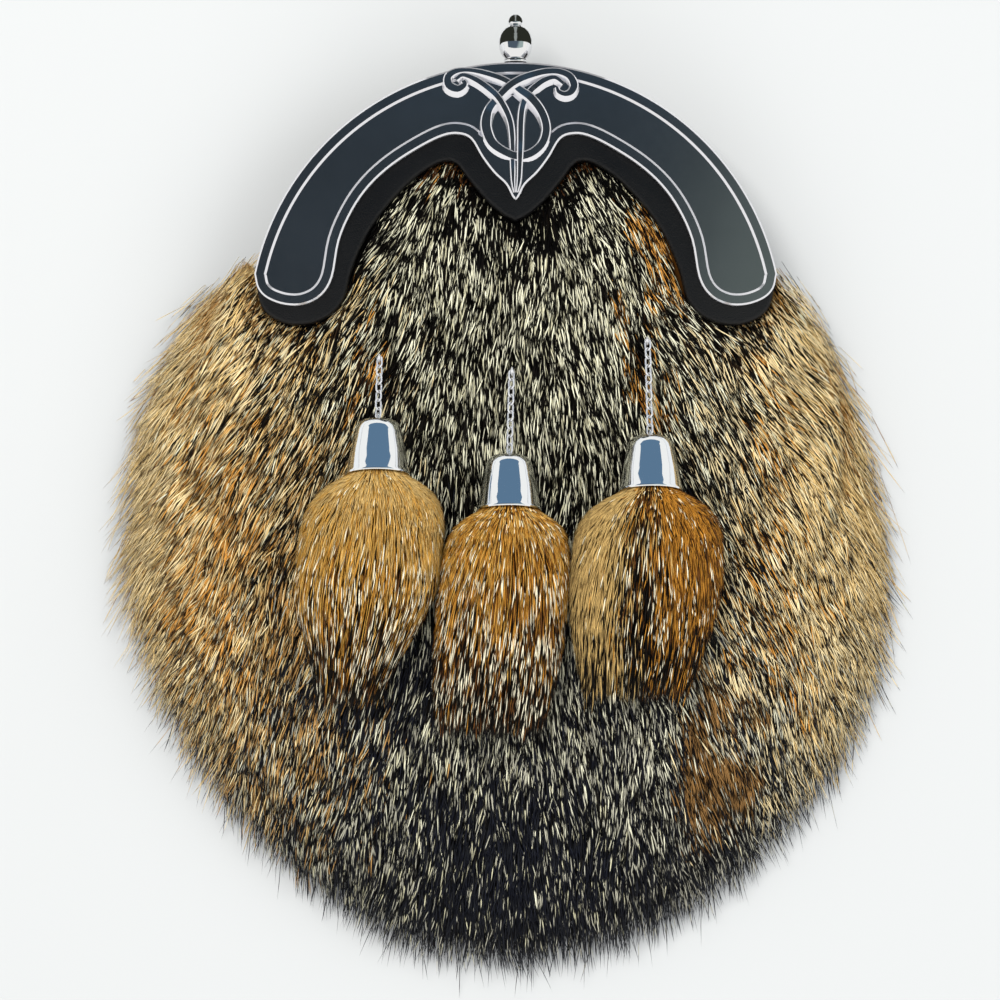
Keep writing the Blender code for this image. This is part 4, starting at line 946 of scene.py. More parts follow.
def coat_material():
    """The dense soft hair low in the coat, in the colours of what grows over it, darker, and on the
    pelt with a painted shadow under the leather band.
    """
    made = bpy.data.materials.get("dense_underfur")
    if made:
        return made
    material, nodes, links = new_material("dense_underfur")
    shader = nodes["Principled BSDF"]
    tint = add(nodes, "ShaderNodeVertexColor", layer_name="coat")
    links.new(tint.outputs[0], shader.inputs["Base Color"])
    shader.inputs["Roughness"].default_value = 0.9
    shader.inputs["Specular IOR Level"].default_value = 0.1
    return material


def grain_group():
    """Fine leather grain: pebbles in creases, as a height, with a worn mask."""
    results = {"Height": "NodeSocketFloat", "Wear": "NodeSocketFloat"}
    tree, ins, outs = new_group("leather_grain", "Size", results)
    place = own_place(tree)
    cells = add(tree.nodes, "ShaderNodeTexVoronoi", feature="SMOOTH_F1")
    tree.links.new(place, cells.inputs["Vector"])
    tree.links.new(ins.outputs[0], cells.inputs["Scale"])
    fine = noise(tree, maths(tree, "MULTIPLY", ins.outputs[0], 2.3), place)
    height = maths(tree, "MULTIPLY_ADD", fine, 0.4, cells.outputs["Distance"])
    tree.links.new(height, outs.inputs[0])
    tree.links.new(noise(tree, 60.0, place), outs.inputs[1])
    return tree


def leather_material(name, size, roughness, bump):
    """Black leather with fine grain, duller where it is worn."""
    material, nodes, links = new_material(name)
    tree = material.node_tree
    shader = nodes["Principled BSDF"]
    grain = nodes.new("ShaderNodeGroup")
    grain.node_tree = bpy.data.node_groups.get("leather_grain") or grain_group()
    grain.inputs["Size"].default_value = size
    rise = nodes.new("ShaderNodeBump")
    rise.inputs["Strength"].default_value = bump
    rise.inputs["Distance"].default_value = 0.0002
    links.new(grain.outputs["Height"], rise.inputs["Height"])
    links.new(rise.outputs[0], shader.inputs["Normal"])
    tint = mix(tree, grain.outputs["Wear"], srgb((5, 5, 6)), srgb((14, 14, 15)))
    shader.inputs["Specular IOR Level"].default_value = 0.3
    links.new(tint, shader.inputs["Base Color"])
    rough = maths(tree, "MULTIPLY_ADD", grain.outputs["Wear"], 0.2, roughness - 0.1)
    links.new(rough, shader.inputs["Roughness"])
    return material


def cantle_material(settings):
    """Dark polished flats, with a painted highlight of bright metal wherever the surface slopes."""
    material, nodes, links = new_material("cantle_metal")
    tree = material.node_tree
    shader = nodes["Principled BSDF"]
    place = nodes.new("ShaderNodeNewGeometry")
    split = nodes.new("ShaderNodeSeparateXYZ")
    links.new(place.outputs["Normal"], split.inputs[0])
    # Painted highlight: where the surface slopes, the colour turns bright and the metal less
    # metallic, in place of the light the slopes mirror.
    slope = smooth_range(tree, split.outputs[2], 0.985, 0.90)
    worn = maths(tree, "MULTIPLY_ADD", slope, -0.3, 1.0)
    links.new(worn, shader.inputs["Metallic"])
    darker, lighter = ([share * part for part in settings.flat_colour] for share in (0.75, 1.25))
    flat = mix(tree, noise(tree, 35.0), darker, lighter)
    colour = mix(tree, slope, flat, list(settings.painted_highlight_colour))
    links.new(colour, shader.inputs["Base Color"])
    rough = maths(tree, "MULTIPLY_ADD", noise(tree, 400.0), 0.10, 0.14)
    links.new(rough, shader.inputs["Roughness"])
    return material


def chrome_material(name, colour, roughness, painted_rim_shade_share, metallic=1.0):
    """Polished metal with painted shade at its rim: its colour falls to a share of itself where it
    turns away.
    """
    material, nodes, links = new_material(name)
    tree = material.node_tree
    shader = nodes["Principled BSDF"]
    shader.inputs["Metallic"].default_value = metallic
    # Painted shade: the colour darkens at the grazing rim, standing in for a dark reflection there.
    turned_away = nodes.new("ShaderNodeLayerWeight")
    turned_away.inputs["Blend"].default_value = 0.5
    rim = smooth_range(tree, turned_away.outputs["Facing"], 0.72, 0.97)
    edge = [painted_rim_shade_share * part for part in colour]
    links.new(mix(tree, rim, colour, edge), shader.inputs["Base Color"])
    rough = maths(tree, "MULTIPLY_ADD", noise(tree, 220.0), 0.06, roughness)
    links.new(rough, shader.inputs["Roughness"])
    return material


# Shapes


def finish(shape, name, material, angle_deg=None):
    """Turns a bmesh into an object at the origin, with its faces outwards."""
    bmesh.ops.recalc_face_normals(shape, faces=shape.faces)
    mesh = bpy.data.meshes.new(name)
    shape.to_mesh(mesh)
    shape.free()
    mesh.materials.append(material)
    mesh.shade_smooth()
    if angle_deg is not None:
        mesh.set_sharp_from_angle(angle=math.radians(angle_deg))
    return new_object(name, mesh)


def dress(obj, slot, *nodes):
    """A finished piece: it rides on the pouch and may stand for nodes. The finish it is given is
    not used.
    """
    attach(obj, "root")
    if nodes:
        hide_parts(*nodes)
    return obj


def paint(obj, material):
    """Gives a solid that stays in the scene its material."""
    obj.data.materials.clear()
    obj.data.materials.append(material)


def prism(shape, levels):
    """A closed shape through outlines of equal length, each at its own height."""
    outline, height = levels[0]
    corners = [shape.verts.new((point.x, point.y, height)) for point in outline]
    shape.faces.new(corners)
    for outline, height in levels[1:]:
        raised = [shape.verts.new((point.x, point.y, height)) for point in outline]
        for index, corner in enumerate(corners):
            after = (index + 1) % len(corners)
            shape.faces.new((corner, corners[after], raised[after], raised[index]))
        corners = raised
    shape.faces.new(corners)


def turn_about(profile, steps, place):
    """A bmesh of revolution about its own Z, placed by the matrix."""
    shape = bmesh.new()
    corners = [shape.verts.new((ring.radius, 0.0, ring.height)) for ring in profile]
    edges = [shape.edges.new(pair) for pair in zip(corners, corners[1:])]
    bmesh.ops.spin(
        shape,
        geom=corners + edges,
        cent=(0, 0, 0),
        axis=(0, 0, 1),
        angle=2 * math.pi,
        steps=steps,
        use_merge=True,
    )
    bmesh.ops.remove_doubles(shape, verts=shape.verts, dist=1e-6)
    bmesh.ops.transform(shape, matrix=place, verts=shape.verts)
    return shape


def band_solid(shape, points, base, top_of):
    """A raised strip with sloping sides that follows the points."""
    line = smooth_line([(p.x, p.y, p.level) for p in points], CURVE_STEPS)
    widths = smooth_line([(p.width, 0) for p in points], CURVE_STEPS)
    previous = None
    for index, here in enumerate(line):
        before = line[max(index - 1, 0)]
        after = line[min(index + 1, len(line) - 1)]
        along = (after - before).to_2d().normalized()
        across = Vector((-along.y, along.x))
        half = widths[index].x / 2
        top = top_of(here.z)
        fall = BAND_SLOPE if here.y > WIDE_SLOPE_BELOW else WIDE_SLOPE
        left, right = (half + BAND_EDGE + fall * max(0.0, side * -across.y) for side in (-1, 1))
        profile = [
            (-left, base),
            (right, base),
            (half, top - BAND_EDGE_DROP),
            (half - BAND_EDGE, top),
            (BAND_EDGE - half, top),
            (-half, top - BAND_EDGE_DROP),
        ]
        ring = bmesh.ops.create_circle(shape, segments=len(profile), radius=1.0)["verts"]
        for corner, (offset, height) in zip(ring, profile):
            spot = here.to_2d() + offset * across
            corner.co = (spot.x, spot.y, height)
        edges = [shape.edges.get((a, b)) for a, b in zip(ring, ring[1:] + ring[:1])]
        if previous:
            bmesh.ops.bridge_loops(shape, edges=previous + edges)
        else:
            bmesh.ops.contextual_create(shape, geom=edges)
        previous = edges
    bmesh.ops.contextual_create(shape, geom=previous)


def cut(obj, tool):
    """Cuts the tool out of the object and removes it."""
    modifier = obj.modifiers.new("Cut", "BOOLEAN")
    modifier.operation = "DIFFERENCE"
    modifier.solver = "EXACT"
    modifier.object = tool
    apply_modifiers(obj)
    bpy.data.objects.remove(tool, do_unlink=True)


def apply_modifiers(obj):
    """Puts what the modifiers make in the place of the object's mesh."""
    bpy.context.view_layer.update()
    graph = bpy.context.evaluated_depsgraph_get()
    mesh = bpy.data.meshes.new_from_object(obj.evaluated_get(graph))
    obj.modifiers.clear()
    obj.data = mesh


def knot_height(level):
    """The height of a band's top, higher where it crosses over another."""
    return PLATE_TOP + KNOT_RISE + KNOT_CROSSING * level


# The tassels' form


def tassel_points(tassel, along, across, up):
    """Points in a tassel, in line with its cone, that lean and level out as they fall."""
    far = np.maximum(0.0, along)
    fade = np.exp(-far / TASSEL_FADE)
    tilt = math.radians(CONE_TILT_DEG)
    across = across * (1 + (tassel.width - 1) * smoothstep(along / TASSEL_SPREAD))
    across = across * (1 - tassel.taper * smoothstep((along - 0.028) / 0.036))
    x = tassel.x + across
    x = x + tassel.lean * far * (1 + TASSEL_SWEEP * far)
    y = tassel.y + up * math.sin(tilt) * fade - along * tassel.stretch
    z = tassel.z + up + along * math.tan(tilt) * fade
    return np.stack((x, y, z), axis=-1)


def tassel_half(along):
    """Half the width and half the depth of a tassel, at each place along it."""
    places, half_widths, half_depths = np.array(TASSEL_SHAPE).T
    return np.interp(along, places, half_widths), np.interp(along, places, half_depths)


def tassel_coats(tassel, along, side, chance):
    """Picks a kind of hair for each point of a tassel. Side runs from -1 left to 1 right."""
    weights = np.full((len(along), len(COATS)), 1e-6)
    for row in TASSEL_COATS[tassel.side]:
        reach = (along - row.along) / row.spread
        off = (side - row.across) / row.width
        weights[:, COAT_INDEX[row.coat]] += row.weight * np.exp(-0.5 * (reach**2 + off**2))
    return pick(weights, chance)


# Operators


class SPORRAN_OT_pelt(bpy.types.Operator):
    """Makes the coat's dense body and its layers of hair"""

    bl_idname = "sporran.pelt"
    bl_label = "Fur pelt"

    def execute(self, context):
        settings = context.scene.sporran_fur
        body = self.make_body()
        dress(body, "fox_fur", "fur_pelt")
        guard = fur_material("guard_hair", 0.45, 0.6)
        under = fur_material("under_hair", 0.7, 0.6)
        hairs = pelt_hairs(
            "guard_hair",
            settings.guard_hairs,
            settings.guard_length,
            settings.guard_width,
            GUARD_LAYER,
            GUARD_SEED,
            guard,
            3,
        )
        hairs += pelt_hairs(
            "under_hair",
            settings.under_hairs,
            0.6 * settings.guard_length,
            1.3 * settings.guard_width,
            UNDER_LAYER,
            UNDER_SEED,
            under,
            1,
        )
        for piece in hairs:
            dress(piece, "fox_fur")
        return {"FINISHED"}

    def make_body(self):
        """A closed dome: its upper half is the coat, its lower half wraps under to the pouch."""
        shape = bmesh.new()
        bmesh.ops.create_uvsphere(shape, u_segments=144, v_segments=96, radius=1.0)
        spots = np.array([corner.co for corner in shape.verts])
        angles = np.degrees(np.arctan2(spots[:, 1], spots[:, 0])) % 360
        run = 2 / math.pi * np.arccos(np.clip(spots[:, 2], -1, 1))
        out = np.stack((np.cos(np.radians(angles)), np.sin(np.radians(angles))), axis=1)
        hidden = (angles > CANTLE_SPAN_DEG[0]) & (angles < CANTLE_SPAN_DEG[1])
        pouch = pouch_reach(angles)
        reach = fur_reach(angles)
        shown = np.minimum(np.maximum(BODY_SHARE * reach, pouch + 0.0016), 0.96 * reach)
        rim = np.where(hidden, reach - 0.003, shown)
        wall = np.where(hidden, rim, np.minimum(pouch + 0.0006, rim))
        back = np.clip((run - 1) / 0.2, 0, 1)
        inward = np.clip((run - 1.3) / 0.7, 0, 1)
        radius = np.where(run <= 1, rim * np.sin(np.minimum(run, 1) * math.pi / 2) ** 0.8, 0)
        radius = np.where(run > 1, (rim + (wall - rim) * back) * (1 - inward), radius)
        flat = np.array(FUR_CENTRE) + radius[:, None] * out
        low = np.where(hidden, PELT_FLOOR, 0.0010)
        crown = np.interp(radius / pouch, (0.2, 0.65, 1.0), (0.0030, 0.00075, 0.0))
        under = low + (PELT_FLOOR - low) * np.clip((run - 1.2) / 0.1, 0, 1)
        under += np.where(run > 1.25, crown, 0)
        heights = np.where(run <= 1, self.top_heights(flat[:, 0], flat[:, 1]), under)
        for corner, spot, height in zip(shape.verts, flat, heights):
            corner.co = (*spot, height)
        body = finish(shape, "pelt_body", coat_material())
        paint_coat(body, pelt_coats, self.shadow)
        return body

    def top_heights(self, x, y):
        """A little below the hair, and level with the hide's edge under the leather band."""
        away = cantle_distance(x, y)
        sunk = 0.0004 + 0.0046 * smoothstep(away / 0.010)
        sunk = sunk + 0.009 * smoothstep((fur_share(x, y) - 0.78) / 0.12)
        cover = np.where(beyond_pouch(x, y) < 0.0006, PELT_FLOOR + 0.0003, 0.0012)
        heights = np.maximum(fur_height(x, y) - sunk, cover)
        return np.where(away <= 0, HIDE_TOP - 0.0002, heights)

    def shadow(self, points):
        """Painted shadow: the coat's body is darker where the leather band stands over it."""
        away = cantle_distance(points[:, 0], points[:, 1])
        return 0.25 + 0.75 * smoothstep((away - 0.001) / 0.008)


class SPORRAN_OT_tassels(bpy.types.Operator):
    """Makes the three fur tassels"""

    bl_idname = "sporran.tassels"
    bl_label = "Tassels"

    def execute(self, context):
        settings = context.scene.sporran_tassels
        material = fur_material("tassel_hair", 0.48, 0.45)
        for number, tassel in enumerate(TASSELS):
            body = self.make_body(tassel)
            dress(body, "golden_fur", f"tassel_fur_{tassel.side}")
            hair = self.make_hair(tassel, settings, material, TASSEL_SEED + number)
            dress(hair, "golden_fur")
        return {"FINISHED"}

    def make_body(self, tassel):
        """A closed soft form a little inside the hair, which keeps the tassel from being hollow."""
        shape = bmesh.new()
        bmesh.ops.create_uvsphere(shape, u_segments=48, v_segments=40, radius=1.0)
        for corner in shape.verts:
            polar = math.acos(max(-1.0, min(1.0, corner.co.z)))
            along = TASSEL_BODY_START + TASSEL_BODY_LENGTH * polar / math.pi
            wide, deep = tassel_half(np.array([along]))
            end = math.sin(polar) ** 0.35 if polar > 0.05 else 0.0
            around = math.atan2(corner.co.y, corner.co.x)
            across = TASSEL_BODY_FILL * end * wide * math.cos(around)
            up = TASSEL_BODY_FILL * end * deep * math.sin(around)
            corner.co = tassel_points(tassel, np.array([along]), across, up)[0]
        body = finish(shape, f"tassel_body_{tassel.side}", coat_material())

        def coats_at(x, y, chance):
            along = (tassel.y - y) / tassel.stretch
            wide, _ = tassel_half(along)
            middle = tassel.x + tassel.lean * along
            return tassel_coats(tassel, along, np.clip((x - middle) / wide, -1, 1), chance)

        paint_coat(body, coats_at, lambda points: np.ones(len(points)))
        return body

    def make_hair(self, tassel, settings, material, seed):
        """A third of the hairs lie on the underside, a fifth are short ones by the cone.

        Some others stand inside the tassel and fill its end."""
        chance = np.random.default_rng(seed)
        count = settings.hairs
        turn = chance.uniform(0, math.pi, count)
        turn[: count // 3] += math.pi
        tip_along = chance.uniform(0.005, TASSEL_REACH, count)
        tip_along = tip_along + 0.003 * chance.standard_normal(count)
        tip_along = np.maximum(tip_along, 0.004)
        tip_along[: count // 5] = chance.uniform(0.0015, 0.013, count // 5)
        tip_along = chance.permutation(tip_along)
        inward = np.ones(count)
        ends = chance.uniform(0, 1, count) < TASSEL_END_SHARE
        inward[ends] = chance.uniform(0.1, 0.95, ends.sum())
        tip_along[ends] = chance.uniform(*TASSEL_END, ends.sum())
        lengths = np.minimum(chance.uniform(0.014, 0.026, count), tip_along + 0.0010)
        swing = 0.20 * chance.standard_normal(count)
        swing += 0.15 * waves(turn * 0.01, tip_along, 0.02, seed + 1)
        lines = []
        for share, lift in ((0.0, -0.0012), (WIDEST, 0.0005), (1.0, 0.0009)):
            along = tip_along - (1 - share) * lengths
            wide, deep = tassel_half(along)
            lifted = lift + (0.0009 * chance.uniform(0, 1, count) if share == 1.0 else 0)
            lifted = np.where(along < 0.0005, -0.0006, lifted)
            angle = turn + swing * share * 0.4
            across = inward * (wide + lifted) * np.cos(angle)
            up = inward * (deep + lifted) * np.sin(angle)
            lines.append(tassel_points(tassel, along, across, up))
        coats = tassel_coats(tassel, tip_along - 0.004, np.cos(turn), chance)
        coarse = np.isin(coats, [COAT_INDEX["tassel_guard"], COAT_INDEX["dark"]])
        widths = settings.hair_width * chance.uniform(0.7, 1.1, count) * np.where(coarse, 1.2, 0.9)
        name = f"tassel_hair_{tassel.side}"
        starts = np.zeros(count)
        tones = 0.5 + 0.20 * chance.standard_normal(count)
        return needles(name, *lines, widths, coats, starts, tones, material)


class SPORRAN_OT_cantle(bpy.types.Operator):
    """Makes the cantle with its knot, the leather band behind it and the finial"""

    bl_idname = "sporran.cantle"
    bl_label = "Cantle and finial"

    def execute(self, context):
        settings = context.scene.sporran_cantle
        metal = cantle_material(settings)
        dress(self.make_plate(settings, metal), "dark_polished_metal", "cantle_plate")
        leather = leather_material("band_leather", 2600.0, 0.40, 0.7)
        backing = dress(self.make_backing(leather), "black_leather", "cantle_backing")
        chrome = chrome_material("finial_chrome", (0.86, 0.86, 0.88), 0.03, 0.35)
        dress(self.make_finial(chrome), "chrome", "finial")
        return {"FINISHED"}

    def make_plate(self, settings, metal):
        """The plate with its bright chamfer, its sunk field and the raised knot."""
        outline = cantle_outline(CANTLE_HALF)
        edge = settings.chamfer
        shape = bmesh.new()
        prism(
            shape,
            [
                (outline, PLATE_BOTTOM),
                (outline, PLATE_TOP - CHAMFER_SLOPE * edge),
                (inset(outline, edge), PLATE_TOP),
            ],
        )
        plate = finish(shape, "cantle", metal)
        field = self.field_outline()
        low = PLATE_TOP - settings.field_depth
        high = PLATE_TOP + settings.field_depth
        shape = bmesh.new()
        slope = settings.field_slope
        prism(shape, [(inset(field, slope), low), (inset(field, -slope), high)])
        cut(plate, finish(shape, "field_cutter", metal))
        shape = bmesh.new()
        place = Matrix.Translation((*DISC_CENTRE, PLATE_TOP))
        bmesh.ops.create_cone(
            shape,
            cap_ends=True,
            segments=64,
            radius1=DISC_RADIUS,
            radius2=DISC_TOP_RADIUS,
            depth=DISC_HEIGHT,
            matrix=place,
        )
        cut(plate, finish(shape, "disc_cutter", metal))
        knot = bmesh.new()
        for points in KNOT_BANDS:
            band_solid(knot, points, PLATE_TOP - KNOT_SUNK, knot_height)
        knot_piece = finish(knot, "knot", metal, 25)
        plate.data.shade_smooth()
        plate.data.set_sharp_from_angle(angle=math.radians(20))
        joined = bmesh.new()
        joined.from_mesh(plate.data)
        joined.from_mesh(knot_piece.data)
        joined.to_mesh(plate.data)
        joined.free()
        bpy.data.objects.remove(knot_piece, do_unlink=True)
        return plate

    def field_outline(self):
        """The cantle's outline moved in by its rim, and cut level behind the knot."""
        whole = cantle_outline(CANTLE_HALF)
        moved = inset(whole, RIM_WIDTH)[: len(whole) // 2 + 1]
        half = [point for point in moved if point.x > FIELD_KEPT[0] or point.y > FIELD_KEPT[1]]
        return mirrored(half + [Vector(FIELD_MIDDLE), Vector((0.0, FIELD_MIDDLE[1]))])

    def make_backing(self, leather):
        """The padded band, whose upper edge is rounded."""
        outline = cantle_outline(BACKING_HALF)
        top = BACKING_BOTTOM + BACKING_THICKNESS
        levels = [(outline, BACKING_BOTTOM)]
        for step in range(BACKING_ROUND_STEPS + 1):
            turn = math.pi / 2 * step / BACKING_ROUND_STEPS
            inward = BACKING_ROUND * (1 - math.cos(turn))
            levels.append((inset(outline, inward), top - BACKING_ROUND * (1 - math.sin(turn))))
        shape = bmesh.new()
        prism(shape, levels)
        return finish(shape, "cantle_leather", leather, 40)

    def make_finial(self, chrome):
        """The ball finial, turned about +Y on top of the round top."""
        foot = Vector((0, ARC_CENTRE[1] + ARC_RADIUS + FINIAL_GAP, PLATE_BOTTOM - FINIAL_DROP))
        place = Matrix.Translation(foot) @ Matrix.Rotation(math.radians(-90), 4, "X")
        return finish(turn_about(FINIAL_PROFILE, 48, place), "ball_finial", chrome, 50)


class SPORRAN_OT_cones(bpy.types.Operator):
    """Makes the bell cones and the fine chains, and gives the staples their metal"""

    bl_idname = "sporran.cones"
    bl_label = "Cones and chains"

    def execute(self, context):
        chrome = chrome_material("cone_chrome", (0.88, 0.90, 0.93), 0.02, 1.0)
        steel = chrome_material("chain_steel", (0.80, 0.80, 0.82), 0.22, 0.12, 0.6)
        tilt = math.radians(CONE_TILT_DEG)
        axis = Vector((0, math.cos(tilt), -math.sin(tilt)))
        for tassel in TASSELS:
            turn = axis.to_track_quat("Z", "Y").to_matrix().to_4x4()
            place = Matrix.Translation((tassel.x, tassel.y, tassel.z)) @ turn
            shape = turn_about(CONE_PROFILE, 64, place)
            self.add_eye(shape, place)
            cone = finish(shape, f"bell_cone_{tassel.side}", chrome, 40)
            dress(cone, "chrome", f"tassel_cone_{tassel.side}")
            paint(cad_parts[f"chain_staple_{tassel.side}"], steel)
            node = f"tassel_chain_{tassel.side}"
            dress(self.make_chain(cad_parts[node], steel), "steel", node)
        return {"FINISHED"}

    def add_eye(self, shape, place):
        """A ring of round wire that stands on the cone's top."""
        ring = bmesh.ops.create_circle(shape, segments=10, radius=EYE_WIRE)["verts"]
        aside = Matrix.Translation((EYE_RADIUS, 0, 0)) @ Matrix.Rotation(math.radians(90), 4, "X")
        bmesh.ops.transform(shape, matrix=aside, verts=ring)
        edges = [edge for edge in shape.edges if edge.verts[0] in ring and edge.verts[1] in ring]
        bmesh.ops.spin(
            shape,
            geom=ring + edges,
            cent=(0, 0, 0),
            axis=(0, 0, 1),
            angle=2 * math.pi,
            steps=24,
            use_merge=True,
        )
        found = {corner for edge in edges for corner in edge.verts if corner.is_valid}
        waiting = list(found)
        while waiting:
            corner = waiting.pop()
            for edge in corner.link_edges:
                other = edge.other_vert(corner)
                if other not in found:
                    found.add(other)
                    waiting.append(other)
        stand = Matrix.Translation((0, 0, CONE_HEIGHT + EYE_RADIUS - EYE_SUNK))
        upright = Matrix.Rotation(math.radians(90), 4, "Y")
        bmesh.ops.transform(shape, matrix=place @ stand @ upright, verts=list(found))

    def make_chain(self, solid, steel):
        """Oval links from end to end of the solid's chain, each turned against the next."""
        points = sorted((corner.co for corner in solid.data.vertices), key=lambda spot: spot.y)
        ends = points[:CHAIN_END_POINTS], points[-CHAIN_END_POINTS:]
        low, high = (sum(end, Vector()) / CHAIN_END_POINTS for end in ends)
        along = (high - low).normalized()
        spread = (high - low).length
        count = round(spread / LINK_PITCH)
        pitch = spread / count
        shape = bmesh.new()
        turned = along.to_track_quat("X", "Z").to_matrix().to_4x4()
        for number in range(count):
            centre = low + (number + 0.5) * pitch * along
            roll = Matrix.Rotation(math.radians(45 if number % 2 else -45), 4, "X")
            place = Matrix.Translation(centre) @ turned @ roll
            self.add_link(shape, place, (pitch + 4 * LINK_WIRE) / 2 - LINK_BEND - LINK_WIRE)
        return finish(shape, solid.name.replace("tassel_chain", "fine_chain"), steel, 60)

    def add_link(self, shape, place, straight):
        """An oval ring of round wire, with half its straight length given."""
        loops = []
        for step in range(LINK_STEPS):
            turn = 2 * math.pi * (step + 0.5) / LINK_STEPS
            out = Vector((math.cos(turn), math.sin(turn), 0))
            spot = LINK_BEND * out + Vector((math.copysign(straight, out.x), 0, 0))
            made = bmesh.ops.create_circle(shape, segments=6, radius=LINK_WIRE)["verts"]
            stand = Matrix.Rotation(turn, 4, "Z") @ Matrix.Rotation(math.radians(90), 4, "X")
            bmesh.ops.transform(shape, matrix=place @ Matrix.Translation(spot) @ stand, verts=made)
            loops.append([shape.edges.get(pair) for pair in zip(made, made[1:] + made[:1])])
        for here, after in zip(loops, loops[1:] + loops[:1]):
            bmesh.ops.bridge_loops(shape, edges=here + after)


class SPORRAN_OT_pouch(bpy.types.Operator):
    """Gives the leather panels and loops of the pouch their leather"""

    bl_idname = "sporran.pouch"
    bl_label = "Leather pouch"

    def execute(self, context):
        leather = leather_material("pouch_leather", 1100.0, 0.5, 0.6)
        for node in (
            "pouch_back",
            "pouch_gusset",
            "pouch_front",
            "belt_loop_left",
            "belt_loop_right",
        ):
            paint(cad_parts[node], leather)
        return {"FINISHED"}


class SPORRAN_OT_stage(bpy.types.Operator):
    """Makes the floor, the soft lights, the cards they mirror and the camera"""

    bl_idname = "sporran.stage"
    bl_label = "Stage"

    def execute(self, context):
        settings = context.scene.sporran_stage
        self.make_floor(settings)
        self.make_cards()
        self.set_render()
        self.make_lights(settings)
        self.make_camera()
        return {"FINISHED"}

    def make_floor(self, settings):
        material, nodes, _ = new_material("pale_floor")
        shader = nodes["Principled BSDF"]
        shader.inputs["Base Color"].default_value = (*settings.floor_colour, 1.0)
        shader.inputs["Roughness"].default_value = 0.7
        shape = bmesh.new()
        bmesh.ops.create_grid(shape, x_segments=1, y_segments=1, size=6.0)
        bmesh.ops.translate(shape, vec=(0, 0, -FLOOR_DROP), verts=shape.verts)
        finish(shape, "floor", material)

    def make_cards(self):
        """What only the metal mirrors: a pale dome, two cards above and two shells."""
        pale = self.glow_material("pale_card", (250, 250, 246))
        shape = bmesh.new()
        bmesh.ops.create_uvsphere(shape, u_segments=32, v_segments=16, radius=DOME_RADIUS)
        bmesh.ops.reverse_faces(shape, faces=shape.faces)
        self.mirror_only(finish(shape, "pale_dome", pale))
        slate = self.glow_material("slate_card", (81, 94, 106))
        self.brighten_right(slate, (160, 177, 175))
        blue = self.glow_material("blue_card", (93, 123, 150))
        seam = (SHEET_SEAM, SHEET_HEIGHT)
        self.make_sheet("slate_card", [(0.020, SHEET_HEIGHT), seam], slate)
        self.make_sheet("blue_card", [seam, (0.36, SHEET_HEIGHT), (0.36, 0.19)], blue)
        deep = self.glow_material("deep_card", (44, 46, 40))
        soft = self.glow_material("soft_card", (150, 155, 152))
        self.make_shell("deep_shell", 0.030, 0.030, deep)
        self.make_shell("soft_shell", 0.028, 0.004, soft)

    def make_sheet(self, name, ends, material):
        """A sheet that runs across X through points given in Y and Z."""
        shape = bmesh.new()
        corners = [shape.verts.new((SHEET_LEFT, *end)) for end in ends]
        edges = [shape.edges.new(pair) for pair in zip(corners, corners[1:])]
        made = bmesh.ops.extrude_edge_only(shape, edges=edges)["geom"]
        moved = [item for item in made if isinstance(item, bmesh.types.BMVert)]
        bmesh.ops.translate(shape, vec=(SHEET_WIDTH, 0, 0), verts=moved)
        self.mirror_only(finish(shape, name, material))

    def brighten_right(self, material, colour):
        """Makes a glowing card brighter towards its near right corner."""
        tree = material.node_tree
        glow = next(node for node in tree.nodes if node.type == "EMISSION")
        where = tree.nodes.new("ShaderNodeTexCoord")
        split = tree.nodes.new("ShaderNodeSeparateXYZ")
        tree.links.new(where.outputs["Object"], split.inputs[0])
        run = maths(tree, "MULTIPLY_ADD", split.outputs[1], -0.5, split.outputs[0])
        ramp = tree.nodes.new("ShaderNodeMapRange")
        ramp.inputs["From Min"].default_value = -0.007
        ramp.inputs["From Max"].default_value = 0.073
        tree.links.new(run, ramp.inputs["Value"])
        near = list(glow.inputs["Color"].default_value)[:3]
        tree.links.new(mix(tree, ramp.outputs[0], near, srgb(colour)), glow.inputs["Color"])

    def make_shell(self, name, radius, half_width, material):
        """Part of a ball round the far side of the finial, no wider than twice the half width."""
        shape = bmesh.new()
        bmesh.ops.create_uvsphere(shape, u_segments=48, v_segments=24, radius=radius)
        middles = [(face, face.calc_center_median()) for face in shape.faces]
        spare = [
            face
            for face, middle in middles
            if middle.y < 0 or middle.z < SHELL_FLOOR or abs(middle.x) > half_width
        ]
        bmesh.ops.delete(shape, geom=spare, context="FACES")
        bmesh.ops.translate(shape, vec=SHELL_PLACE, verts=shape.verts)
        self.mirror_only(finish(shape, name, material))

    def glow_material(self, name, colour):
        """A glow that gives no light by itself."""
        material, nodes, links = new_material(name)
        glow = nodes.new("ShaderNodeEmission")
        glow.inputs["Color"].default_value = (*srgb(colour), 1.0)
        nodes.remove(nodes["Principled BSDF"])
        links.new(glow.outputs[0], nodes["Material Output"].inputs["Surface"])
        material.cycles.emission_sampling = "NONE"
        return material

    def mirror_only(self, card):
        """Hides a card from all but mirrors, and keeps it out of the model."""
        card.visible_camera = False
        card.visible_diffuse = False
        card.visible_shadow = False
        card.visible_transmission = False

    def set_render(self):
        """True colours, and few light bounces, so that a full render stays short."""
        scene = bpy.context.scene
        scene.view_settings.view_transform = "Standard"
        scene.cycles.max_bounces = 4
        scene.cycles.diffuse_bounces = 1
        scene.cycles.use_light_tree = False
        scene.cycles.debug_use_spatial_splits = True

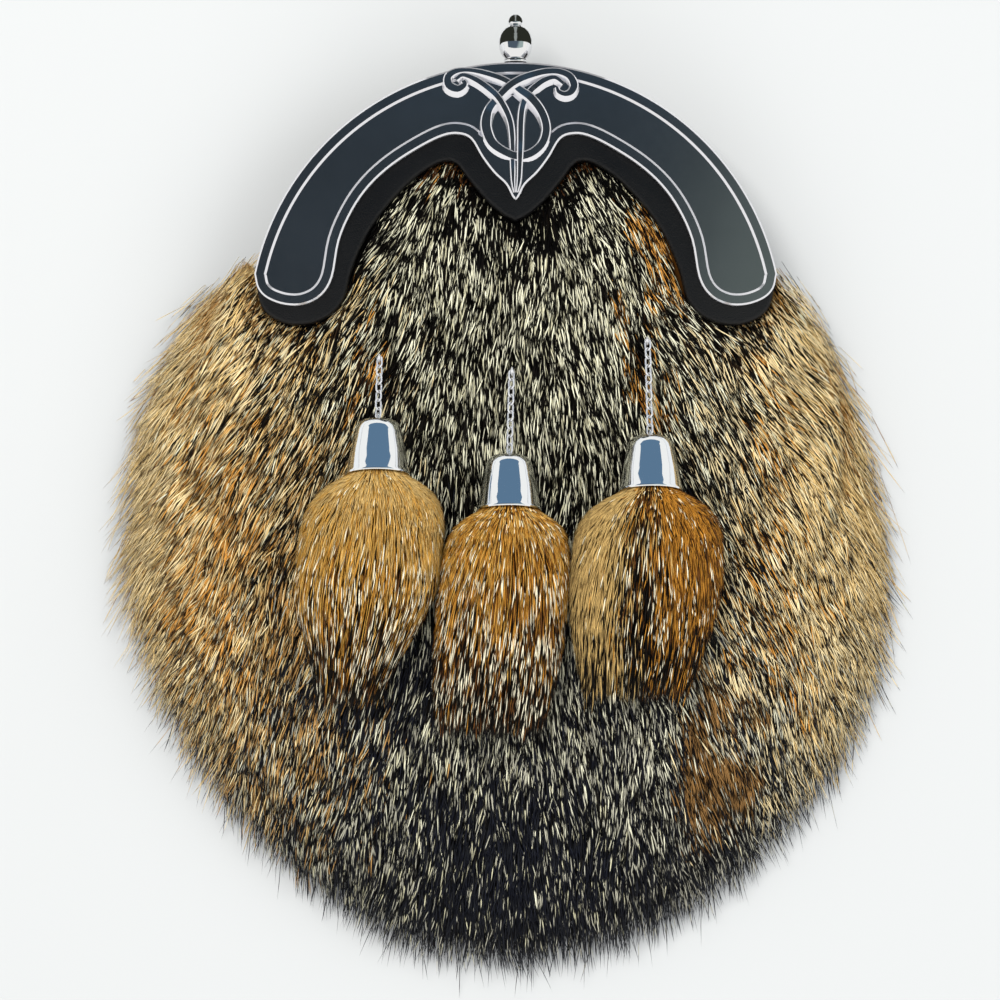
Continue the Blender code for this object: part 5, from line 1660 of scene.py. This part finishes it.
    def make_lights(self, settings):
        world = bpy.data.worlds.new("studio")
        bpy.context.scene.world = world
        world.use_nodes = True
        back = world.node_tree.nodes["Background"]
        back.inputs["Color"].default_value = (0.94, 0.97, 1.0, 1.0)
        back.inputs["Strength"].default_value = 0.75 * settings.light
        for name, place, size, power, colour in (
            ("key", (-0.35, 0.45, 1.30), 0.6, 17.0, (1.0, 0.99, 0.97)),
            ("fill", (0.95, 0.10, 0.95), 0.9, 7.0, (0.96, 0.98, 1.0)),
            ("front", (0.0, -1.1, 0.7), 0.9, 5.0, (1.0, 1.0, 1.0)),
        ):
            data = bpy.data.lights.new(name, "AREA")
            data.size = size
            data.energy = power * settings.light
            data.color = colour
            light = new_object(name, data)
            light.visible_glossy = False
            light.location = place
            aim = Vector((0, 0, 0)) - Vector(place)
            light.rotation_euler = aim.to_track_quat("-Z", "Y").to_euler()

    def make_camera(self):
        data = bpy.data.cameras.new("camera")
        data.sensor_width = 36.0
        data.lens = CAMERA_LENS_MM
        data.dof.use_dof = False
        camera = new_object("camera", data)
        tilt = math.radians(CAMERA_TILT_DEG)
        back = Vector((0, -math.sin(tilt), math.cos(tilt)))
        camera.location = Vector(CAMERA_TARGET) + CAMERA_DISTANCE * back
        camera.rotation_euler = (tilt, 0, 0)
        bpy.context.scene.camera = camera


class SPORRAN_PT_panel(bpy.types.Panel):
    """Lists the sizes, colours and pieces of the pouch"""

    bl_idname = "SPORRAN_PT_panel"
    bl_label = "Sporran pouch"
    bl_space_type = "VIEW_3D"
    bl_region_type = "UI"
    bl_category = "Sporran"

    def draw(self, context):
        for attribute, group in SETTINGS:
            box = self.layout.box()
            for field in group.__annotations__:
                box.prop(getattr(context.scene, attribute), field)
        for operator in OPERATORS:
            self.layout.operator(operator.bl_idname)


SETTINGS = [
    ("sporran_fur", FurSettings),
    ("sporran_cantle", CantleSettings),
    ("sporran_tassels", TasselSettings),
    ("sporran_stage", StageSettings),
]
OPERATORS = [
    SPORRAN_OT_stage,
    SPORRAN_OT_pouch,
    SPORRAN_OT_cantle,
    SPORRAN_OT_cones,
    SPORRAN_OT_tassels,
    SPORRAN_OT_pelt,
]
CLASSES = [group for _, group in SETTINGS] + OPERATORS + [SPORRAN_PT_panel]


def register():
    for item in CLASSES:
        bpy.utils.register_class(item)
    for attribute, group in SETTINGS:
        setattr(bpy.types.Scene, attribute, bpy.props.PointerProperty(type=group))


def unregister():
    for attribute, _ in SETTINGS:
        delattr(bpy.types.Scene, attribute)
    for item in reversed(CLASSES):
        bpy.utils.unregister_class(item)


def main():
    register()
    bpy.ops.sporran.stage()
    bpy.ops.sporran.pouch()
    bpy.ops.sporran.cantle()
    bpy.ops.sporran.cones()
    bpy.ops.sporran.tassels()
    bpy.ops.sporran.pelt()
    bpy.context.view_layer.update()


if __name__ == "__main__":
    main()
